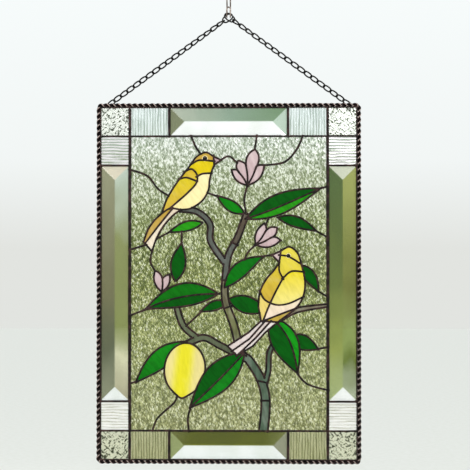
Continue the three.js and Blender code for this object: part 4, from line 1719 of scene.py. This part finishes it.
class Recipe(Nodes):
    """A material under construction: one principled shader and the nodes that feed it."""

    def __init__(self, name: str, **values: Any) -> None:
        """Starts a material.

        Args:
            name: Its name.
            values: The shader's values that are the same all over it.
        """
        self.material = bpy.data.materials.new(name)
        self.material.use_nodes = True
        super().__init__(self.material.node_tree)
        self.shader = self.node("ShaderNodeBsdfPrincipled")
        self.feed(**values)
        self.node("ShaderNodeOutputMaterial", {}, {"Surface": self.shader.outputs[0]})
        self.place = self.node("ShaderNodeTexCoord").outputs["Object"]

    def feed(self, **inputs: Any) -> None:
        """Gives the shader values, sockets or terms. An underscore stands for a space."""
        self.connect(self.shader, {key.replace("_", " "): value for key, value in inputs.items()})

    def noise(
        self, scale: float, stretch: Sequence[float] = (1, 1, 1), turn: float = 0.0, detail: float = 2.0
    ) -> Term:
        """Gives noise over object coordinates.

        Args:
            scale: How many spots a metre holds.
            stretch: A further scale along x, y and z.
            turn: A turn about y, in radians, made before the stretch.
            detail: How many finer layers it has.

        Returns:
            The noise, about 0.5 in the middle.
        """
        place = self.place
        for kind, values in (
            ("ShaderNodeMapping", {"Rotation": (0, turn, 0)}),
            ("ShaderNodeMapping", {"Scale": tuple(stretch)}),
            ("ShaderNodeTexNoise", {"Scale": scale, "Detail": detail}),
        ):
            place = self.node(kind, {}, {"Vector": place, **values}).outputs[0]
        return Term(self, place)

    def height(self, low: float, high: float) -> Term:
        """Rises evenly from 0 at one height of the object to 1 at another."""
        split = self.node("ShaderNodeSeparateXYZ", {}, {0: self.place})
        return Term(self, split.outputs[2]).between(low, high, "LINEAR")

    def tint(self) -> bpy.types.NodeSocket:
        """Reads the piece's own colour."""
        return self.node("ShaderNodeAttribute", {"attribute_name": "tint"}).outputs["Color"]

    def ripple(self) -> Term:
        """Reads the height of the piece's own relief."""
        return Term(self, self.node("ShaderNodeAttribute", {"attribute_name": "ripple"}).outputs["Fac"])

    def mix(self, share: Any, first: Any, second: Any, way: str = "MIX") -> bpy.types.NodeSocket:
        """Mixes two colours.

        Args:
            share: How much of the second there is.
            first: The first colour.
            second: The second colour.
            way: The way in which they mix.

        Returns:
            The mixed colour's socket.
        """
        inputs = {0: share, 6: first, 7: second}
        return self.node("ShaderNodeMix", {"data_type": "RGBA", "blend_type": way}, inputs).outputs[2]

    def dimmed(self, colour: Any, red: float, green: float, blue: float) -> bpy.types.NodeSocket:
        """Multiplies a colour's parts by a number each."""
        return self.mix(1.0, colour, (red, green, blue, 1), "MULTIPLY")

    def bump(self, height: Term, distance: float, strength: float) -> None:
        """Makes the surface uneven by a height."""
        values = {"Height": height, "Distance": distance, "Strength": strength}
        self.feed(Normal=self.node("ShaderNodeBump", {}, values).outputs[0])


def acrylic(name: str, see_through: float, gloss: float) -> Recipe:
    """Starts a recipe for acrylic."""
    return Recipe(name, Transmission_Weight=see_through, IOR=1.49, Specular_IOR_Level=gloss)


@dataclass(frozen=True)
class StreakyAcrylic:
    """Coloured acrylic, partly see-through, with fine streaks of a lighter and a darker tone."""

    name: str
    see_through: float
    streak: float
    turn: float
    lightness: float
    gloss: float = 0.1

    def material(self) -> bpy.types.Material:
        """Builds the material: the pane's own tint, darker and paler along drawn-out noise.

        Returns:
            The material.
        """
        mix = acrylic(self.name, self.see_through, self.gloss)
        tint = mix.tint()
        streaks = mix.noise(420, (1.0, 1.0, 0.22), self.turn, 4)
        wisps = mix.noise(150, (1.0, 1.0, 0.35), self.turn + 0.3, 3)
        shady = (1 - streaks.between(0.3, 0.62)) * self.streak
        dark = mix.mix(shady, tint, mix.dimmed(tint, 0.55, 0.55, 0.5))
        pale = mix.mix(wisps.between(0.5, 0.75) * self.lightness, dark, (0.95, 0.93, 0.86, 1))
        mix.feed(Base_Color=pale, Roughness=0.12 + 0.16 * wisps)
        mix.bump(mix.noise(300, (1, 1, 0.5), self.turn, 3), 0.0004, 0.35)
        return mix.material


@dataclass(frozen=True)
class HammeredClear:
    """The clear ground, whose drawn-out dabs get painted white highlights and glints, with painted
    shade over the green between.
    """

    name: str = "hammered_clear_acrylic"

    def material(self) -> bpy.types.Material:
        """Builds the material: two crossing noises make painted highlights and painted shade in the
        tint.

        Returns:
            The material.
        """
        mix = acrylic(self.name, 0.8, 0.35)
        tint, top = mix.tint(), mix.height(*PICTURE_RANGE)
        fine = mix.noise(1000, (1.0, 1.0, 0.4), 0.38)
        cross = mix.noise(860, (1.0, 1.0, 0.45), -0.25)
        grey = mix.noise(620, (1.0, 1.0, 0.5), 0.1)
        height = 0.12 * mix.ripple() + 0.52 * fine + 0.5 * cross
        # Painted highlight colours for the pale dabs, lighter towards the top.
        stops = [(0.0, "DEE0AE"), (0.3, "CED294"), (0.5, "C0C67E"), (0.72, "D8E0B8"), (1.0, "FCFEFD")]
        share = (height - 0.06 * grey + 0.04 * top).between(0.565, 0.61)
        body = mix.mix(grey.between(0.5, 0.68) * 0.3, tint, shade("AEB5A0"))
        body = mix.mix(share, body, mix.ramp(top, stops))
        # Painted glints: bright white specks, stronger towards the top.
        glint = (0.5 * fine + 0.5 * cross).between(0.565, 0.59) * (0.7 + 0.3 * top)
        body = mix.mix(glint, body, shade("FBFCF4"))
        # Painted shade over the low places of the relief, a little weaker towards the top.
        hollow_shade = (1 - height.between(0.48, 0.52)) * (0.85 - 0.15 * top)
        body = mix.mix(hollow_shade, body, mix.dimmed(tint, 0.3, 0.34, 0.25))
        mix.feed(Base_Color=body, Roughness=0.03 + 0.1 * fine)
        mix.bump(0.6 * fine + 0.4 * cross, 0.0006, 0.8)
        return mix.material


@dataclass(frozen=True)
class RibbedClear:
    """Clear acrylic with fine ribs: painted highlights on the ribs and painted shade over the tint in
    the valleys.
    """

    name: str
    # The ribs' painted highlight colours at the top and at the bottom, and how strongly painted shade
    # darkens the valleys there.
    crest_highlight: str = "EEF6F5"
    low_crest_highlight: str = "BBBA90"
    depth: float = 1.0
    low_depth: float = 1.3
    stretch: tuple[float, float, float] = (1.0, 1.0, 0.06)

    def material(self) -> bpy.types.Material:
        """Builds the material: painted highlights and shade from the ribs' height and fine lines along
        them.

        Returns:
            The material.
        """
        mix = acrylic(self.name, 0.7, 0.35)
        lines, top = mix.noise(1100, self.stretch), mix.height(*BORDER_RANGE)
        depth = self.low_depth + (self.depth - self.low_depth) * top
        # Painted shade in the valleys and painted highlights on the ribs, their colour by height.
        share = 1 - (1 - (0.5 * mix.ripple() + 0.8 * lines).between(0.42, 0.86)) * depth
        crest_highlight = mix.mix(top, shade(self.low_crest_highlight), shade(self.crest_highlight))
        body = mix.mix(share, mix.dimmed(mix.tint(), 0.72, 0.76, 0.76), crest_highlight)
        mix.feed(Base_Color=body, Roughness=0.05 + 0.12 * lines)
        mix.bump(lines, 0.0003, 0.4)
        return mix.material


@dataclass(frozen=True)
class GraniteClear:
    """Clear acrylic with a cut, grainy face: painted white highlights, painted shade in dabs between
    grains.
    """

    name: str = "granite_clear_acrylic"

    def material(self) -> bpy.types.Material:
        """Builds the material: painted highlights and painted shade from the face's height.

        Returns:
            The material.
        """
        mix = acrylic(self.name, 0.7, 0.35)
        grain, top = mix.noise(1100), mix.height(*BORDER_RANGE)
        share = (0.75 * mix.ripple() + 0.55 * grain).between(0.5, 0.74)
        # Painted shade for the low places and painted highlights for the grains, both paler at the top.
        dark = mix.ramp(top, [(0.0, "3A4024"), (1.0, "525A4A")])
        crest_highlight = mix.ramp(top, [(0.0, "D6D8BE"), (1.0, "F4F8F0")])
        mix.feed(Base_Color=mix.mix(share, dark, crest_highlight), Roughness=0.05 + 0.2 * grain)
        mix.bump(grain, 0.0003, 0.5)
        return mix.material


@dataclass(frozen=True)
class BevelledClear:
    """Polished clear acrylic, whose facets each show painted reflections and shade of their own."""

    name: str = "bevelled_clear_acrylic"

    def material(self) -> bpy.types.Material:
        """Builds the material: the facets' painted reflections and shade, a little uneven.

        Returns:
            The material.
        """
        mix = acrylic(self.name, 0.75, 0.12)
        tint, drift = mix.tint(), mix.noise(40, (1, 1, 0.5), 0.0, 1)
        body = mix.mix(drift.between(0.4, 0.7) * 0.4, tint, mix.dimmed(tint, 0.8, 0.83, 0.76))
        mix.feed(Base_Color=body, Roughness=0.02 + 0.04 * drift)
        return mix.material


@dataclass(frozen=True)
class DarkMetal:
    """Blackened metal: reddish-brown patches and pale crests, each both wear and painted highlight."""

    name: str
    dark: str = "0D0707"
    wear_and_highlight: str = "5E403B"
    amount: float = 0.35
    metallic: float = 0.3
    roughness: float = 0.36
    crest_highlight: str | None = None

    def material(self) -> bpy.types.Material:
        """Builds the material: patches of painted highlight and wear over the dark colour.

        Returns:
            The material.
        """
        mix = Recipe(self.name, Metallic=self.metallic, Specular_IOR_Level=0.2)
        patches, grain = mix.noise(240, detail=3), mix.noise(1500)
        share = (0.75 * patches + 0.35 * grain).between(0.46, 0.72) * self.amount
        body = mix.mix(share, shade(self.dark), shade(self.wear_and_highlight))
        # A pale line along the crests: a painted highlight that also stands for wear.
        if self.crest_highlight is not None:
            body = mix.mix(mix.ripple().between(0.93, 0.998), body, shade(self.crest_highlight))
        mix.feed(Base_Color=body, Roughness=self.roughness + 0.22 * (grain - 0.5) + 0.1 * patches)
        mix.bump(0.6 * patches + 0.4 * grain, 0.0003, 0.5)
        return mix.material


@dataclass(frozen=True)
class Enamel:
    """Glossy paint on the eyes."""

    name: str
    body: str
    worn: str

    def material(self) -> bpy.types.Material:
        """Builds the material with a faint mottle.

        Returns:
            The material.
        """
        mix = Recipe(self.name, Specular_IOR_Level=0.2)
        mottle = mix.noise(1200)
        body = mix.mix(mottle.between(0.35, 0.7), shade(self.body), shade(self.worn))
        mix.feed(Base_Color=body, Roughness=0.2 + 0.15 * mottle)
        return mix.material


def finishes() -> Dress:
    """Builds every finish.

    Returns:
        The material for each slot or piece that asks for one by name.
    """
    made = {
        "bird": StreakyAcrylic("bird_acrylic", 0.3, 0.3, 0.5, 0.08, 0.06),
        "lemon": StreakyAcrylic("lemon_acrylic", 0.3, 0.22, 0.1, 0.04, 0.05),
        "leaf_dark": StreakyAcrylic("leaf_acrylic", 0.15, 0.6, 0.7, 0.0, 0.02),
        "leaf_bright": StreakyAcrylic("bright_leaf_acrylic", 0.15, 0.5, 1.2, 0.0, 0.02),
        "petal": StreakyAcrylic("petal_acrylic", 0.3, 0.3, 0.2, 0.3),
        "branch": StreakyAcrylic("branch_acrylic", 0.25, 0.7, 0.1, 0.08, 0.05),
        "ground": HammeredClear(),
        "granite": GraniteClear(),
        "upright_ribs": RibbedClear("upright_ribbed_acrylic"),
        # Level ribs: their painted highlight colours and the strength of their painted valley shade.
        "level_ribs": RibbedClear(
            "level_ribbed_acrylic", "F0ECF0", "FAF9F6", 1.5, 0.5, (0.06, 1.0, 1.0)
        ),
        "bevel": BevelledClear(),
        "came": DarkMetal("lead_patina"),
        # The rope's last colour is the pale line along its crests: painted highlight and wear.
        "rope": DarkMetal("rope_patina_and_highlight", "0B0506", "402A28", 0.4, 0.5, 0.3, "C4B0A8"),
        "chain": DarkMetal("blackened_steel", "0A0A0A", "4A4744", 0.35, 0.7, 0.28),
        "hook": DarkMetal("dull_wire", "6A5E58", "B9AEA6", 0.8, 0.9, 0.28),
        "eye_white": Enamel("eye_white_enamel", "EBDCA8", "DCC88C"),
        "eye_dark": Enamel("eye_dark_enamel", "050404", "0C0907"),
    }
    return {slot: finish.material() for slot, finish in made.items()}


# Studio -------------------------------------------------------------------------------------

SKY_TONES = ((0.0, "E2E4E0"), (0.07, "F2F6F5"), (0.25, "F9FEFE"))

# Each light's name, place, side, power in watts and colour.
LIGHTS = (
    ("front_light", (-0.9, -1.5, 0.7), 0.9, 22, (1.0, 0.98, 0.95)),
    ("side_light", (1.4, -0.9, 0.2), 0.6, 9, (0.95, 0.98, 1.0)),
    ("back_light", (0.5, 1.5, 0.6), 1.0, 14, (1.0, 1.0, 0.97)),
)


@dataclass
class Studio:
    """The camera, the pale floor and the soft light."""

    distance: float = 1.2
    azimuth: float = 1.0
    elevation: float = -0.6
    aim: tuple[float, float, float] = (0.0061, 0.0, -0.2337)
    lens: float = 95.9
    lit: tuple[float, float, float] = (0.0, 0.0, -0.25)
    floor_height: float = -0.9
    floor_size: float = 9.0

    def camera(self) -> None:
        """Places the camera on a ray from its aim, and points it there."""
        data = bpy.data.cameras.new("camera")
        data.lens, data.sensor_width, data.clip_start = self.lens, 36.0, 0.01
        turn, lift = np.radians(self.azimuth), np.radians(self.elevation)
        ray = Vector((np.sin(turn) * np.cos(lift), -np.cos(turn) * np.cos(lift), np.sin(lift)))
        eye = placed("camera", data)
        eye.location = Vector(self.aim) + self.distance * ray
        eye.rotation_euler = (-ray).to_track_quat("-Z", "Y").to_euler()
        bpy.context.scene.camera = eye

    def floor(self) -> None:
        """Lays a wide, pale, plain floor."""
        mesh = bpy.data.meshes.new("floor")
        signs = ((-1, -1), (1, -1), (1, 1), (-1, 1))
        corners = [(a * self.floor_size, b * self.floor_size, self.floor_height) for a, b in signs]
        mesh.from_pydata(corners, [], [(0, 1, 2, 3)])
        mix = Recipe("floor_paint", Roughness=0.85)
        share = mix.noise(60).between(0.3, 0.7)
        mix.feed(Base_Color=mix.mix(share, shade("E4E4DE"), shade("E8E8E3")))
        mesh.materials.append(mix.material)
        placed("floor", mesh)

    def lights(self) -> None:
        """Adds square soft lights that face the panel."""
        for name, place, size, power, colour in LIGHTS:
            data = bpy.data.lights.new(name, "AREA")
            data.size, data.energy, data.color = size, power, colour
            lamp = placed(name, data)
            lamp.location = place
            ray = Vector(self.lit) - Vector(place)
            lamp.rotation_euler = ray.to_track_quat("-Z", "Y").to_euler()

    def sky(self) -> None:
        """Lights the room all round: pale blue-white above, a little greyer low down."""
        world = bpy.data.worlds.new("studio")
        bpy.context.scene.world = world
        world.use_nodes = True
        mix = Nodes(world.node_tree)
        place = mix.node("ShaderNodeTexCoord").outputs["Generated"]
        height = mix.node("ShaderNodeSeparateXYZ", {}, {0: place}).outputs[2]
        tone = {"Color": mix.ramp(height, SKY_TONES), "Strength": 1.0}
        back = mix.node("ShaderNodeBackground", {}, tone)
        mix.node("ShaderNodeOutputWorld", {}, {"Surface": back.outputs[0]})

    def build(self) -> None:
        """Sets up the camera, the floor, the sky and the lights."""
        bpy.context.scene.view_settings.view_transform = "Standard"
        self.camera()
        self.floor()
        self.sky()
        self.lights()


def main() -> None:
    """Builds the hanging in order."""
    logging.basicConfig(level=logging.INFO, format="%(name)s: %(message)s")
    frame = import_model()
    Studio().build()
    dress = finishes()
    Picture().build(sorted(frame["nodes"]), dress)
    for part in (Border(), EdgeRope(), Chain(), Hook(), Eyes()):
        part.build(dress)


if __name__ == "__main__":
    main()
